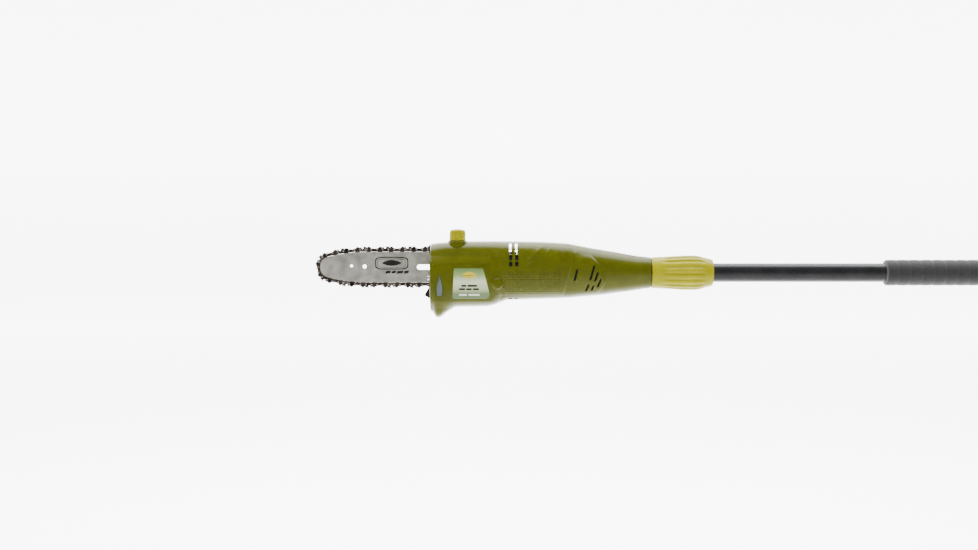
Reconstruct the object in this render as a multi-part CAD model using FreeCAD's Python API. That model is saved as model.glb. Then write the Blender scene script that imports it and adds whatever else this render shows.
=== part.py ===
import FreeCAD, Part
import math
import os

# Telescoping pole saw, closed to its shortest length.  Millimetres, +Z up.
# X runs along the pole: the guide bar points to -X and the rear handle to +X.
# The origin is on the pole's axis, at the tail end of the saw head.
# The operator's left is -Y (oil tank side) and the right is +Y (sprocket cover side).

V = FreeCAD.Vector
AX, AY, AZ = V(1, 0, 0), V(0, 1, 0), V(0, 0, 1)

# ---------------------------------------------------------------- driving dimensions
# Saw head, outside form
tail_radius = 26.4            # round tail that meets the locking collar
neck_length = 139.0           # from the tail to the full section
bay_length = 102.0            # motor bay
block_length = 131.0          # front block: gearbox, oil tank and sprocket bay
head_half_width = 46.0
body_top = 53.6
body_bottom = 45.7
shoulder_top = 50.3           # where the neck reaches the motor bay
shoulder_bottom = 42.3
block_bottom = 56.8
block_front_top = 49.8
chin_depth = 75.5
chin_length = 44.0
shell_wall = 2.8
rib_thickness = 2.4
seat_gap = 0.1                # fixed piece in its seat

# Drive line: motor along X, sprocket shaft along Y, both at this height
drive_height = 8.5
sprocket_from_front = 80.5    # sprocket shaft, behind the front of the head
bay_behind_sprocket = 44.5    # sprocket shaft to the back of its bay
stator_radius = 30.0
stator_length = 65.0
stator_from_neck = 11.0       # back of the stator, in front of the neck
stator_bore = 19.5
air_gap = 0.6
rotor_shaft_radius = 4.0
commutator_radius = 11.0
commutator_length = 16.0
bearing_radius = 9.5
bearing_width = 7.0
fan_radius = 27.0
fan_width = 12.0
gear_teeth = 36
pinion_teeth = 12
gear_radius = 18.0
gear_mesh_gap = 0.5
sprocket_shaft_radius = 5.0

# Guide bar and chain
bar_plane = 22.0              # middle plane of the bar, to the right of the pole's axis
bar_reach = 252.0             # sprocket shaft to the nose sprocket's centre
nose_radius = 18.5
bar_half_width = 26.0         # where the straight sides meet the shoulders
bar_tail_start = 75.0         # sprocket shaft to where the tail starts to narrow
bar_plate = 1.2
bar_groove = 1.6
groove_depth = 5.5
bar_slot_height = 9.3
bar_slot_length = 61.0
stud_from_front = 27.0
stud_radius = 4.0
chain_pitch = 9.525           # rivet to rivet
rail_to_rivet = 4.3           # rivet line above the bar's rail
strap_height = 7.2
strap_thickness = 1.2
tang_reach = 8.2
tang_thickness = 1.27
nose_tooth_gap = 1.0          # rim of the nose sprocket under the drive links' tangs
rivet_radius = 1.5
cutter_height = 5.2
tension_travel = 4.0
tension_drop = 18.0           # tension screw below the bar's middle line
tension_screw_radius = 2.0

knob_radius = 17.0

# Oil system
tank_wall = 2.0
filler_from_front = 47.0
filler_y = -20.0
filler_radius = 12.0
boss_radius = 16.2
boss_top = 54.6
cap_radius = 13.0
cap_height = 20.0
pump_size = 15.0
oil_pipe_radius = 2.0

# Pole
inner_tube_radius = 14.0
inner_tube_wall = 1.4
tube_insert = 62.0            # inner tube inside the head
clamp_gap = 3.2               # pole clamp inside the head's tail, all round
pole_stroke = 740.0
tube_overlap = 68.0           # tube still inside tube when the pole is fully open
tube_tail_room = 40.0         # outer tube behind the closed inner tube
tube_gap = 0.4                # between the two tubes, all round
outer_tube_wall = 1.6
outer_tube_start = 12.0
slide_clearance = 0.05
bush_length = 22.0
lead_radius = 7.5
collar_length = 104.0
collar_swell = 3.2            # belly of the collar over its front
collar_taper = 3.9            # rear of the collar under its front
collar_front_gap = 2.6
collet_wall = 4.0
collet_length = 34.0
flute_count = 18
flute_radius = 2.2
foam_start = 400.0
foam_length = 240.0
foam_thickness = 6.0

# Rear handle
tube_in_handle = 100.0
handle_length = 350.0
handle_half_width = 20.0
handle_wall = 2.6
socket_wall = 8.0             # handle round the outer tube
grip_height = 19.0            # top of the grip above the pole's axis
grip_depth = 17.0             # underside of the grip below the axis
bow_depth = 66.0              # outside of the finger guard
bow_thickness = 13.0
finger_gap_start = 104.0
finger_gap_length = 150.0
trigger_width = 14.0
trigger_length = 46.0
button_radius = 8.0
button_proud = 5.0
inlet_radius = 15.0
inlet_depth = 24.0
pin_spacing = 5.5             # each power pin from the inlet's middle

# Fasteners
screw_radius = 1.9
screw_head_radius = 3.6
boss_wall_radius = 4.6
screw_bite = 9.0              # housing screw past the parting plane
screw_tube_gap = 3.0          # axis of a handle screw from the pole's surface
liner_depth = 4.0             # cable liner inside the end of the outer tube
liner_proud = 6.0
spring_seat = 1.4             # foot of the trigger spring above the trigger's pivot

# ---------------------------------------------------------------- derived places
head_front = -(neck_length + bay_length + block_length)
block_rear = -(neck_length + bay_length)
sprocket_x = head_front + sprocket_from_front
nose_x = sprocket_x - bar_reach
stud_x = head_front + stud_from_front
filler_x = head_front + filler_from_front
bay_wall = bar_plane - 6.0           # face of the wall behind the bar
cover_edge = bay_wall
stator_rear = neck_length + stator_from_neck
stator_front = -(stator_rear + stator_length)
outer_tube_radius = inner_tube_radius + tube_gap + outer_tube_wall
collar_bore = outer_tube_radius + collet_wall + 0.4
collar_front_radius = max(tail_radius, collar_bore + 3.0)
collar_belly_radius = collar_front_radius + collar_swell
collar_rear_radius = collar_front_radius - collar_taper
socket_radius = outer_tube_radius + socket_wall
gearbox_half = 28.0
gearbox_wall = 4.0
outer_tube_length = pole_stroke + tube_overlap + tube_tail_room
handle_start = outer_tube_start + outer_tube_length - tube_in_handle
handle_end = handle_start + handle_length
bay_rear = sprocket_x + bay_behind_sprocket
bar_thickness = 2 * bar_plate + bar_groove
rail_pitch_radius = nose_radius + rail_to_rivet
sprocket_pitch_radius = chain_pitch / (2 * math.sin(math.radians(15)))

nodes = {}


# ---------------------------------------------------------------- shape helpers
def rod(start, axis, radius, length):
    """Plain cylinder from a start point along an axis."""
    return Part.makeCylinder(radius, length, start, axis)


def pipe(start, axis, radius, bore, length):
    """Hollow cylinder."""
    return rod(start, axis, radius, length).cut(rod(start, axis, bore, length))


def block(x0, x1, y0, y1, z0, z1):
    """Rectangular block between two corners."""
    return Part.makeBox(x1 - x0, y1 - y0, z1 - z0, V(x0, y0, z0))


def face_xz(points, y=0.0):
    """Flat face from (x, z) corners in the plane of the given y."""
    corners = [V(x, y, z) for x, z in points]
    return Part.Face(Part.makePolygon(corners + corners[:1]))


def slab(points, y0, y1):
    """Outline in the XZ plane given a thickness from y0 to y1."""
    return face_xz(points, y0).extrude(V(0, y1 - y0, 0))


def rounded(points, radius):
    """Corners of an XZ outline turned into tangent arcs, as one closed wire at y = 0."""
    edges = []
    count = len(points)
    cuts = []
    for i in range(count):
        before = V(points[i - 1][0], 0, points[i - 1][1])
        here = V(points[i][0], 0, points[i][1])
        after = V(points[(i + 1) % count][0], 0, points[(i + 1) % count][1])
        r = points[i][2] if len(points[i]) > 2 else radius
        u = (before - here).normalize()
        w = (after - here).normalize()
        half = math.acos(max(-1.0, min(1.0, u.dot(w)))) / 2
        reach = r / math.tan(half)
        reach = min(reach, 0.48 * (before - here).Length, 0.48 * (after - here).Length)
        r = reach * math.tan(half)
        middle = here + (u + w).normalize() * (r / math.sin(half) - r)
        cuts.append((here + u * reach, middle, here + w * reach))
    for i in range(count):
        start, middle, end = cuts[i]
        edges.append(Part.Arc(start, middle, end).toShape())
        edges.append(Part.LineSegment(end, cuts[(i + 1) % count][0]).toShape())
    return Part.Wire(edges)


def soft_slab(points, radius, y0, y1):
    """Slab whose outline has rounded corners."""
    wire = rounded(points, radius)
    wire.translate(V(0, y0, 0))
    return Part.Face(wire).extrude(V(0, y1 - y0, 0))


def turned(profile, base, axis):
    """Solid of revolution: (along, radius) corners about an axis through base."""
    side = AZ if abs(axis.z) < 0.5 else AX
    corners = [base + axis * a + side * r for a, r in profile]
    return Part.Face(Part.makePolygon(corners + corners[:1])).revolve(base, axis, 360)


def joined(shapes):
    """One shape from several that touch or overlap."""
    first = shapes[0]
    return first.fuse(shapes[1:]).removeSplitter() if len(shapes) > 1 else first


def group(shapes):
    """Separate solids kept as one named group."""
    return Part.makeCompound(shapes)


def biggest(shape):
    """The largest solid of a result that left slivers behind."""
    return max(shape.Solids, key=lambda s: s.Volume)


# ---------------------------------------------------------------- saw head form
def ring(x, top, bottom, half_width, power, inset):
    """Closed superellipse section of the head at x, drawn in by the inset."""
    middle, half_height = (top - bottom) / 2, (top + bottom) / 2 - inset
    width = half_width - inset
    points = []
    steps = 36
    for i in range(steps):
        a = 2 * math.pi * i / steps
        c, s = math.cos(a), math.sin(a)
        reach = (abs(c) ** power + abs(s) ** power) ** (-1.0 / power)
        points.append(V(x, width * reach * c, middle + half_height * reach * s))
    curve = Part.BSplineCurve()
    curve.interpolate(points, PeriodicFlag=True)
    return Part.Wire(curve.toShape())


def head_sections():
    """Stations along the head: x, top, bottom, half width and corner power."""
    step = block_length / 4
    w = head_half_width
    return [
        (0.0, tail_radius, tail_radius, tail_radius, 2.0),
        (-0.27 * neck_length, tail_radius + 5.0, tail_radius + 5.4, tail_radius + 5.6, 2.1),
        (-0.7 * neck_length, shoulder_top - 8.6, shoulder_bottom - 3.6, w - 5.0, 2.3),
        (-neck_length, shoulder_top, shoulder_bottom, w - 1.0, 2.5),
        (block_rear, body_top, body_bottom, w, 2.8),
        (block_rear - step, body_top, block_bottom - 1.5, w, 3.2),
        (block_rear - 2 * step, body_top - 0.4, block_bottom, w, 3.4),
        (head_front + 8.0, block_front_top + 1.0, block_bottom, w, 3.4),
        (head_front, block_front_top - 2.0, block_bottom - 3.0, w - 3.0, 3.2),
    ]


form_store = {}


def head_form(inset):
    """Solid form of the head with every wall drawn in by the inset (negative is proud)."""
    if inset not in form_store:
        rows = head_sections()
        shift = [0.0] * len(rows)
        shift[0] = -inset
        shift[-1] = inset
        wires = [ring(x + d, t, b, w, p, inset) for (x, t, b, w, p), d in zip(rows, shift)]
        form_store[inset] = Part.makeLoft(wires, True, False)
    return form_store[inset].copy()


def skin(outline, proud, sunk, side=-1):
    """Patch of the head's surface inside an XZ outline, from sunk to proud."""
    reach = head_half_width + 20.0
    y0, y1 = (-reach, -head_half_width * 0.5) if side < 0 else (head_half_width * 0.5, reach)
    prism = outline(y0, y1) if callable(outline) else slab(outline, y0, y1)
    return prism.common(head_form(-proud)).cut(head_form(sunk))


def chin(inset):
    """Wedge under the front of the block."""
    x0 = head_front + 2.0 + inset
    points = [
        (x0, -block_bottom + 14.0),
        (x0 + 3.0, -chin_depth + 6.0 + inset),
        (x0 + 10.0, -chin_depth + inset * 1.4),
        (x0 + chin_length - 2 * inset, -block_bottom + 0.5 + inset),
        (x0 + chin_length - 2 * inset, -block_bottom + 14.0),
    ]
    half = head_half_width - 14.0 - inset
    return slab(points, -half, bay_wall - inset)


# ---------------------------------------------------------------- housing features
slot_rows = [
    # top x from the front of the neck, top z, lean along X, bottom z of each cooling slot
    (14.0, 8.0, 4.7, -11.5),
    (42.6, 14.0, 7.0, -10.7),
    (48.7, 3.0, 5.2, -12.7),
    (53.8, -8.0, 5.6, -23.3),
    (33.6, -17.2, 4.6, -29.5),
    (41.4, -19.6, 2.8, -28.8),
]
slot_width = 4.0
vent_columns = (5.0, 15.0)     # behind the front block
vent_rows = ((48.3, 39.3), (38.4, 31.6), (29.0, 20.6), (18.0, 10.7))
vent_width = 6.0
screw_places = [(-45.0, 26.0), (-45.0, -26.0), (21.0 - neck_length, 33.0), (21.0 - neck_length, -31.0),
                (-neck_length - bay_length / 2, -34.5), (block_rear - 11.0, -34.0),
                (head_front + 32.0, -48.0), (block_rear - 15.0, 42.0)]


def slanted_slot(offset, z0, lean, z1, y0, y1):
    """Slot with level ends along a slanted line, cut through from y0 to y1."""
    h = slot_width / 2
    x0 = offset - neck_length
    x1 = x0 - lean
    return slab([(x0 - h, z0), (x0 + h, z0), (x1 + h, z1), (x1 - h, z1)], y0, y1)


def cooling_cuts():
    """All cooling openings through both sides of the head."""
    reach = head_half_width + 10.0
    cuts = []
    for row in slot_rows:
        cuts.append(slanted_slot(*row, -reach, reach))
    for offset in vent_columns:
        x = block_rear + offset
        for top, bottom in vent_rows:
            cuts.append(block(x - vent_width / 2, x + vent_width / 2, -reach, reach, bottom, top))
        cuts.append(block(x - vent_width / 2, x + vent_width / 2, -reach, reach, -46.0, -39.0))
    return cuts


def window_outline(grow):
    """Pointed drop of the oil sight window, as a slab maker."""
    x, top, bottom = head_front + 17.5, -3.6 + grow, -36.0 - grow
    half = 4.5 + grow
    points = [(x, top, 1.0), (x + half, bottom + 12.0, 6.0), (x + 1.5, bottom, 2.0),
              (x - half, bottom + 10.0, 6.0)]
    return lambda y0, y1: soft_slab(points, 3.0, y0, y1)


def tank_panel():
    """Raised panel outside the oil tank, as a slab maker."""
    x0 = head_front + 6.0
    points = [(x0, 26.0), (block_rear - 33.0, 26.0), (block_rear - 20.0, 12.0),
              (block_rear - 9.0, -24.0), (block_rear - 22.0, -47.0), (x0, -50.0)]
    return lambda y0, y1: soft_slab(points, 6.0, y0, y1)


def label_outline(grow=0.0):
    """Trapezoid of the rating label on the tank panel."""
    left, right = head_front + 41.5, block_rear - 41.0
    points = [(left - grow, 7.8 + grow), (right + grow, 7.8 + grow),
              (block_rear - 30.0 + grow, -36.0), (block_rear - 34.0, -43.0 - grow),
              (left - grow, -43.0 - grow)]
    return lambda y0, y1: soft_slab(points, 2.0, y0, y1)


label_thickness = 0.6
panel_rise = 2.4


def shell_ribs():
    """Ribs across the inside of the head, each with the hole of what it carries."""
    motor_axis = V(0, 0, drive_height)
    ribs = []
    for x, hole in ((-14.0, clamp_outside(seat_gap)), (-tube_insert + 6.0, clamp_outside(seat_gap))):
        ribs.append(rib(x).cut(hole))
    for x in (-stator_rear - 12.0, stator_front + 14.0):
        bore = rod(motor_axis + AX * (x - 10), AX, stator_radius + seat_gap, 20)
        ribs.append(rib(x).cut(bore))
    rear = rib(rear_bearing_x() + bearing_width / 2, bearing_width)
    ribs.append(rear.cut(rod(motor_axis + AX * (rear_bearing_x() - 5), AX, bearing_radius, 20)))
    gearbox = block(sprocket_x - 60, sprocket_x + 60, -24 - seat_gap, bay_wall - shell_wall - seat_gap,
                    drive_height - gearbox_half + 2 - seat_gap, drive_height + gearbox_half - 2 + seat_gap)
    tank = tank_outside(seat_gap)
    ribs.append(rib(sprocket_x + 20.0).cut(gearbox).cut(tank))
    return ribs


def rib(x, thickness=None):
    """Full disc across the head at x, a touch inside the outer surface."""
    t = thickness or rib_thickness
    reach = head_half_width + 20
    return head_form(shell_wall - 0.4).common(block(x - t / 2, x + t / 2, -reach, reach, -90, 90))


def rear_bearing_x():
    """Front face of the rear motor bearing."""
    return -stator_rear + 10.0 + commutator_length + 6.0


def clamp_outside(grow):
    """Outer block of the pole clamp."""
    r = tail_radius - shell_wall - clamp_gap + grow
    return rod(V(-tube_insert - 4 - grow, 0, 0), AX, r, tube_insert + 2 + 2 * grow - 4)


def tank_outside(grow):
    """Outer form of the oil tank with its filler neck."""
    x0, x1 = head_front + 12.0 - grow, block_rear - 21.0 + grow
    main = block(x0, x1, -head_half_width + 8 - grow, -26 + grow, -34 - grow, 31 + grow)
    top = block(filler_x - 18 - grow, filler_x + 18 + grow, -34 - grow, -6 + grow,
                30 - grow, boss_top - 12 + grow)
    neck = rod(V(filler_x, filler_y, 36), AZ, filler_radius + grow, boss_top - 36 + 2)
    return main.fuse([top, neck])


def screw_boss(x, z, y0, y1):
    """Round post for one housing screw."""
    return rod(V(x, y0, z), AY, boss_wall_radius, y1 - y0)


def build_housings():
    """Left and right halves and the sprocket cover, cut from one hollow form."""
    reach = head_half_width + 20.0
    outer = head_form(0.0)
    cavity = head_form(shell_wall)
    inside = head_form(shell_wall - 0.4)
    shell = outer.fuse(chin(0.0))
    panel = tank_panel()(-reach, -head_half_width * 0.5)
    panel = panel.common(head_form(-panel_rise)).cut(head_form(0.6))
    shell = shell.fuse(panel)
    shell = shell.cut(cavity).cut(chin(shell_wall).cut(inside))
    boss = rod(V(filler_x, filler_y, boss_top - 14), AZ, boss_radius, 14).cut(cavity)
    shell = shell.fuse(boss)
    posts = []
    for x, z in screw_places:
        posts.append(screw_boss(x, z, -reach, reach).common(inside))
    wall = block(head_front - 5, bay_rear, bay_wall - shell_wall, bay_wall, -90, 90)
    back = block(bay_rear - shell_wall, bay_rear, bay_wall - 1, reach, -90, 90)
    wall = wall.common(inside)
    back = back.common(inside)
    body = shell.fuse(shell_ribs() + posts + [wall, back])
    cuts = cooling_cuts()
    cuts.append(rod(V(-5, 0, 0), AX, inner_tube_radius + 6.0 + seat_gap, 12))
    cuts.append(window_outline(0.15)(-reach, -head_half_width * 0.5))
    cuts.append(rod(V(filler_x, filler_y, 30), AZ, filler_radius + 0.2, 40))
    cuts.append(rod(V(sprocket_x, 0, drive_height), AY, bearing_radius + 0.3, reach))
    cuts.append(rod(V(stud_x, bay_wall - 8, drive_height), AY, stud_radius, reach))
    pin_z = drive_height - tension_drop
    slot = tension_travel + tension_screw_radius + 1.0
    cuts.append(block(stud_x - slot, stud_x + slot, bay_wall - 4, bay_wall + 1, pin_z - 2.6, pin_z + 2.6))
    cuts.append(rod(V(head_front - 10, bay_wall - 8, pin_z), AX, tension_screw_radius + 0.1, 30))
    cuts.append(rod(V(oil_pipe_x(), 0, drive_height - 34), AY, oil_pipe_radius + seat_gap, bay_wall + 2))
    cuts.append(rod(V(stud_x, head_half_width, drive_height), AY, knob_radius + 2.0, 20))
    cuts += front_plates()
    for x, z in screw_places:
        cuts.append(rod(V(x, -screw_bite, z), AY, screw_radius, screw_bite + reach))
        cuts.append(rod(V(x, screw_seat(z), z), AY, screw_head_radius + 0.2, reach))
    body = body.cut(cuts)
    # the room for bar, chain and sprocket, closed by the cover
    bay_x = bay_rear - shell_wall
    bay = block(head_front - 5, bay_x, bay_wall, reach, -90, 90).common(cavity)
    mouth = block(head_front - 10, head_front + 14, bay_wall, bar_plane + 7.0,
                  drive_height - bar_half_width - 12, drive_height + bar_half_width + 11.5)
    body = body.cut([bay, mouth])
    left = body.common(block(head_front - 20, 5, -reach, 0, -99, 99))
    right_half = body.common(block(head_front - 20, 5, 0, reach, -99, 99))
    cover_zone = block(head_front - 20, bay_rear, cover_edge, reach, -99, 99)
    nodes["housing_left"] = biggest(left)
    nodes["housing_right"] = biggest(right_half.cut(cover_zone))
    nodes["sprocket_cover"] = biggest(right_half.common(cover_zone))


def screw_seat(z):
    """Height above the parting plane at which a screw head sits, under the right surface."""
    drop = 9.0 if abs(z) < 40 else 22.0
    return head_half_width - drop


def build_screws():
    """Housing screws from the right side into posts on the left half."""
    screws = []
    for x, z in screw_places:
        y = screw_seat(z)
        shaft = rod(V(x, -screw_bite, z), AY, screw_radius, y + screw_bite)
        head = rod(V(x, y, z), AY, screw_head_radius, 2.4)
        recess = block(x - 0.5, x + 0.5, y + 1.2, y + 2.5, z - 2, z + 2)
        screws.append(shaft.fuse(head).cut(recess))
    nodes["housing_screws"] = group(screws)


# ---------------------------------------------------------------- guide bar and chain
def bar_side():
    """Upper outline of the bar: nose arc, shoulder arc, straight side and tail arc."""
    shoulder_tilt, side_tilt = math.radians(14), math.radians(0.3)
    rise = bar_half_width - nose_radius * math.cos(shoulder_tilt)
    shoulder_radius, tail_arc = rise / (math.cos(side_tilt) - math.cos(shoulder_tilt)), 60.0
    a1, a2 = math.pi / 2 - shoulder_tilt, math.pi / 2 - side_tilt
    nose = (bar_reach, 0.0)
    p1 = (nose[0] + nose_radius * math.cos(a1), nose_radius * math.sin(a1))
    shoulder = (nose[0] + (nose_radius - shoulder_radius) * math.cos(a1),
                (nose_radius - shoulder_radius) * math.sin(a1))
    p2 = (shoulder[0] + shoulder_radius * math.cos(a2), shoulder[1] + shoulder_radius * math.sin(a2))
    reach = p2[0] - bar_tail_start
    p3 = (p2[0] - reach * math.cos(side_tilt), p2[1] + reach * math.sin(side_tilt))
    tail = (p3[0] - tail_arc * math.cos(a2), p3[1] - tail_arc * math.sin(a2))
    return dict(a1=a1, a2=a2, nose=nose, shoulder=shoulder, tail=tail, shoulder_radius=shoulder_radius,
                tail_radius=tail_arc, p2=p2, p3=p3)


def bar_outline(inset, tail_at=31.0):
    """Closed wire of the bar, its edge drawn in by the inset."""
    s = bar_side()

    def at(u, v):
        return V(sprocket_x - u, 0, drive_height + v)

    def on(centre, radius, angle, sign=1):
        return at(centre[0] + radius * math.cos(angle), sign * (centre[1] + radius * math.sin(angle)))

    nose_r, sh_r, tail_r = nose_radius - inset, s["shoulder_radius"] - inset, s["tail_radius"] - inset
    tail_angle = math.acos((tail_at + inset - s["tail"][0]) / tail_r)
    mid_tail = (tail_angle + s["a2"]) / 2
    mid_sh = (s["a1"] + s["a2"]) / 2
    top, low = [], []
    for sign, edges in ((1, top), (-1, low)):
        edges.append(Part.Arc(on(s["nose"], nose_r, s["a1"], sign), on(s["shoulder"], sh_r, mid_sh, sign),
                              on(s["shoulder"], sh_r, s["a2"], sign)).toShape())
        edges.append(Part.LineSegment(on(s["shoulder"], sh_r, s["a2"], sign),
                                      on(s["tail"], tail_r, s["a2"], sign)).toShape())
        edges.append(Part.Arc(on(s["tail"], tail_r, s["a2"], sign), on(s["tail"], tail_r, mid_tail, sign),
                              on(s["tail"], tail_r, tail_angle, sign)).toShape())
    nose = Part.Arc(on(s["nose"], nose_r, s["a1"]), at(bar_reach + nose_r, 0),
                    on(s["nose"], nose_r, s["a1"], -1)).toShape()
    end = Part.LineSegment(on(s["tail"], tail_r, tail_angle), on(s["tail"], tail_r, tail_angle, -1)).toShape()
    return Part.Wire(Part.__sortEdges__([nose, end] + top + low))


def bar_plate_solid(inset, y0, y1, tail_at=31.0):
    """Flat plate with the bar's outline."""
    face = Part.Face(bar_outline(inset, tail_at))
    face.translate(V(0, y0, 0))
    return face.extrude(V(0, y1 - y0, 0))


def bar_slot(y0, y1):
    """Mounting slot of the bar, round at its front end."""
    front = stud_x - (bar_slot_length - 10.0)
    h = bar_slot_height / 2
    body = block(front + h, front + bar_slot_length, y0, y1, drive_height - h, drive_height + h)
    return body.fuse(rod(V(front + h, y0, drive_height), AY, h, y1 - y0))


def build_bar():
    """Two side plates, the core between them, rivets and the tension pin."""
    y_mid = bar_plane
    half_groove = bar_groove / 2
    y_out = half_groove + bar_plate
    pin_z = drive_height - tension_drop
    holes = [rod(V(nose_x + 58.0, y_mid - 9, drive_height + 1), AY, 3.5, 18),
             rod(V(nose_x + 35.5, y_mid - 9, drive_height + 2), AY, 2.5, 18),
             rod(V(stud_x, y_mid - 9, pin_z), AY, tension_screw_radius + 0.1, 18),
             bar_slot(y_mid - 9, y_mid + 9)]
    rivet_places = [(nose_x + 17.0, 6.0), (nose_x + 17.0, -6.0), (nose_x + 23.0, 0.0),
                    (nose_x + 23.0, 14.6), (nose_x + 23.0, -14.6)]
    rivet_holes = [rod(V(x, y_mid - 9, drive_height + z), AY, 1.3, 18) for x, z in rivet_places]
    hub = rod(V(nose_x, y_mid - 9, drive_height), AY, 4.0, 18)
    plates = []
    for y0, y1 in ((y_mid - y_out, y_mid - half_groove), (y_mid + half_groove, y_mid + y_out)):
        plates.append(bar_plate_solid(0.0, y0, y1).cut(holes + rivet_holes + [hub]))
    nodes["bar_side_plates"] = group(plates)
    core = bar_plate_solid(groove_depth, y_mid - half_groove, y_mid + half_groove)
    pocket = rod(V(nose_x, y_mid - 9, drive_height), AY, nose_pocket(), 18)
    nodes["bar_core"] = biggest(core.cut(holes + rivet_holes + [pocket]))
    rivets = [rod(V(x, y_mid - y_out - 0.2, drive_height + z), AY, 1.3, 2 * y_out + 0.4)
              for x, z in rivet_places]
    rivets.append(rod(V(nose_x, y_mid - y_out - 0.3, drive_height), AY, 4.0, 2 * y_out + 0.6))
    nodes["bar_rivets"] = group(rivets)
    bite = tension_screw_radius
    pin = rod(V(stud_x, bay_wall - 11.0, pin_z), AY, bite, y_mid + y_out - bay_wall + 11.0)
    carrier = block(stud_x - 5, stud_x + 5, bay_wall - 13, bay_wall - 3.4, pin_z - 5, pin_z + 5)
    carrier = carrier.fuse(pin)
    bore = rod(V(stud_x - 20, bay_wall - 8, pin_z), AX, tension_screw_radius + 0.06, 40)
    nodes["tension_block"] = carrier.cut(bore)
    screw = rod(V(head_front - 2.0, bay_wall - 8, pin_z), AX, tension_screw_radius, 48)
    head = rod(V(head_front - 5.2, bay_wall - 8, pin_z), AX, 3.6, 3.4)
    slot = block(head_front - 6, head_front - 4, bay_wall - 12, bay_wall - 4, pin_z - 0.5, pin_z + 0.5)
    nodes["tension_screw"] = screw.fuse(head).cut(slot)


def nose_pocket():
    """Radius of the pocket round the nose sprocket."""
    return rail_pitch_radius - tang_reach + 0.5


def build_nose_sprocket():
    """Thin star wheel between the bar's side plates."""
    radius = rail_pitch_radius - tang_reach - nose_tooth_gap
    notch = radius + 0.6
    half = bar_groove / 2 - 0.1
    y0 = bar_plane - half
    wheel = rod(V(nose_x, y0, drive_height), AY, radius, 2 * half)
    cuts = [rod(V(nose_x, y0, drive_height), AY, 4.06, 2 * half)]
    for i in range(10):
        a = 2 * math.pi * (i + 0.5) / 10
        at = V(nose_x + notch * math.cos(a), y0, drive_height + notch * math.sin(a))
        cuts.append(rod(at, AY, 2.4, 2 * half))
    nodes["nose_sprocket"] = wheel.cut(cuts)


def chain_route():
    """The rivet line as stretches: (length, function giving point and heading)."""
    s = bar_side()
    out = rail_to_rivet
    pieces = []

    def arc(centre, radius, start, end):
        length = abs(end - start) * radius
        turn = 1 if end > start else -1

        def place(d):
            a = start + turn * d / radius
            u, v = centre[0] + radius * math.cos(a), centre[1] + radius * math.sin(a)
            return u, v, a + turn * math.pi / 2
        return length, place

    def line(p, q):
        length = math.hypot(q[0] - p[0], q[1] - p[1])
        heading = math.atan2(q[1] - p[1], q[0] - p[0])

        def place(d):
            return (p[0] + d * math.cos(heading), p[1] + d * math.sin(heading), heading)
        return length, place

    def on(centre, radius, angle):
        return (centre[0] + radius * math.cos(angle), centre[1] + radius * math.sin(angle))

    tail_r = s["tail_radius"] + out
    gap = math.hypot(*s["tail"])
    # outer tangent from the sprocket's pitch circle to the tail arc
    base = math.atan2(s["tail"][1], s["tail"][0])
    swing = math.acos((sprocket_pitch_radius - tail_r) / gap)
    touch = base + swing
    upper = [
        line(on((0, 0), sprocket_pitch_radius, touch), on(s["tail"], tail_r, touch)),
        arc(s["tail"], tail_r, touch, s["a2"]),
        line(on(s["tail"], tail_r, s["a2"]), on(s["shoulder"], s["shoulder_radius"] + out, s["a2"])),
        arc(s["shoulder"], s["shoulder_radius"] + out, s["a2"], s["a1"]),
        arc(s["nose"], nose_radius + out, s["a1"], 0.0),
    ]
    pieces.append(arc((0, 0), sprocket_pitch_radius, math.pi, touch))
    pieces += upper
    total = sum(length for length, _ in pieces)

    def place(d):
        """Point and heading at a distance along the whole loop."""
        d = d % (2 * total)
        flip = d > total
        rest = 2 * total - d if flip else d
        for length, where in pieces:
            if rest <= length + 1e-6:
                break
            rest -= length
        u, v, heading = where(min(rest, length))
        if flip:
            v, heading = -v, math.pi - heading
        return u, v, heading
    return 2 * total, place


def link_plate(p, q, height, y0, y1, extra=None):
    """Chain plate between two rivets: round ends, holes, and any extra outline inwards."""
    dx, dz = q[0] - p[0], q[1] - p[1]
    span = math.hypot(dx, dz)
    ux, uz = dx / span, dz / span

    def at(along, out):
        return V(p[0] + ux * along + uz * out, y0, p[1] + uz * along - ux * out)

    r = height / 2
    edges = [Part.Arc(at(0, r), at(-r, 0), at(0, -r)).toShape()]
    inner = [at(0, -r)] + [at(a, o) for a, o in (extra or [])] + [at(span, -r)]
    for a, b in zip(inner, inner[1:]):
        edges.append(Part.LineSegment(a, b).toShape())
    edges.append(Part.Arc(at(span, -r), at(span + r, 0), at(span, r)).toShape())
    edges.append(Part.LineSegment(at(span, r), at(0, r)).toShape())
    outer = Part.Wire(edges)
    face = Part.Face(outer)
    solid = face.extrude(V(0, y1 - y0, 0))
    holes = [rod(V(c[0], y0 - 1, c[1]), AY, rivet_radius, y1 - y0 + 2) for c in (p, q)]
    return solid.cut(holes), at, span


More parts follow.
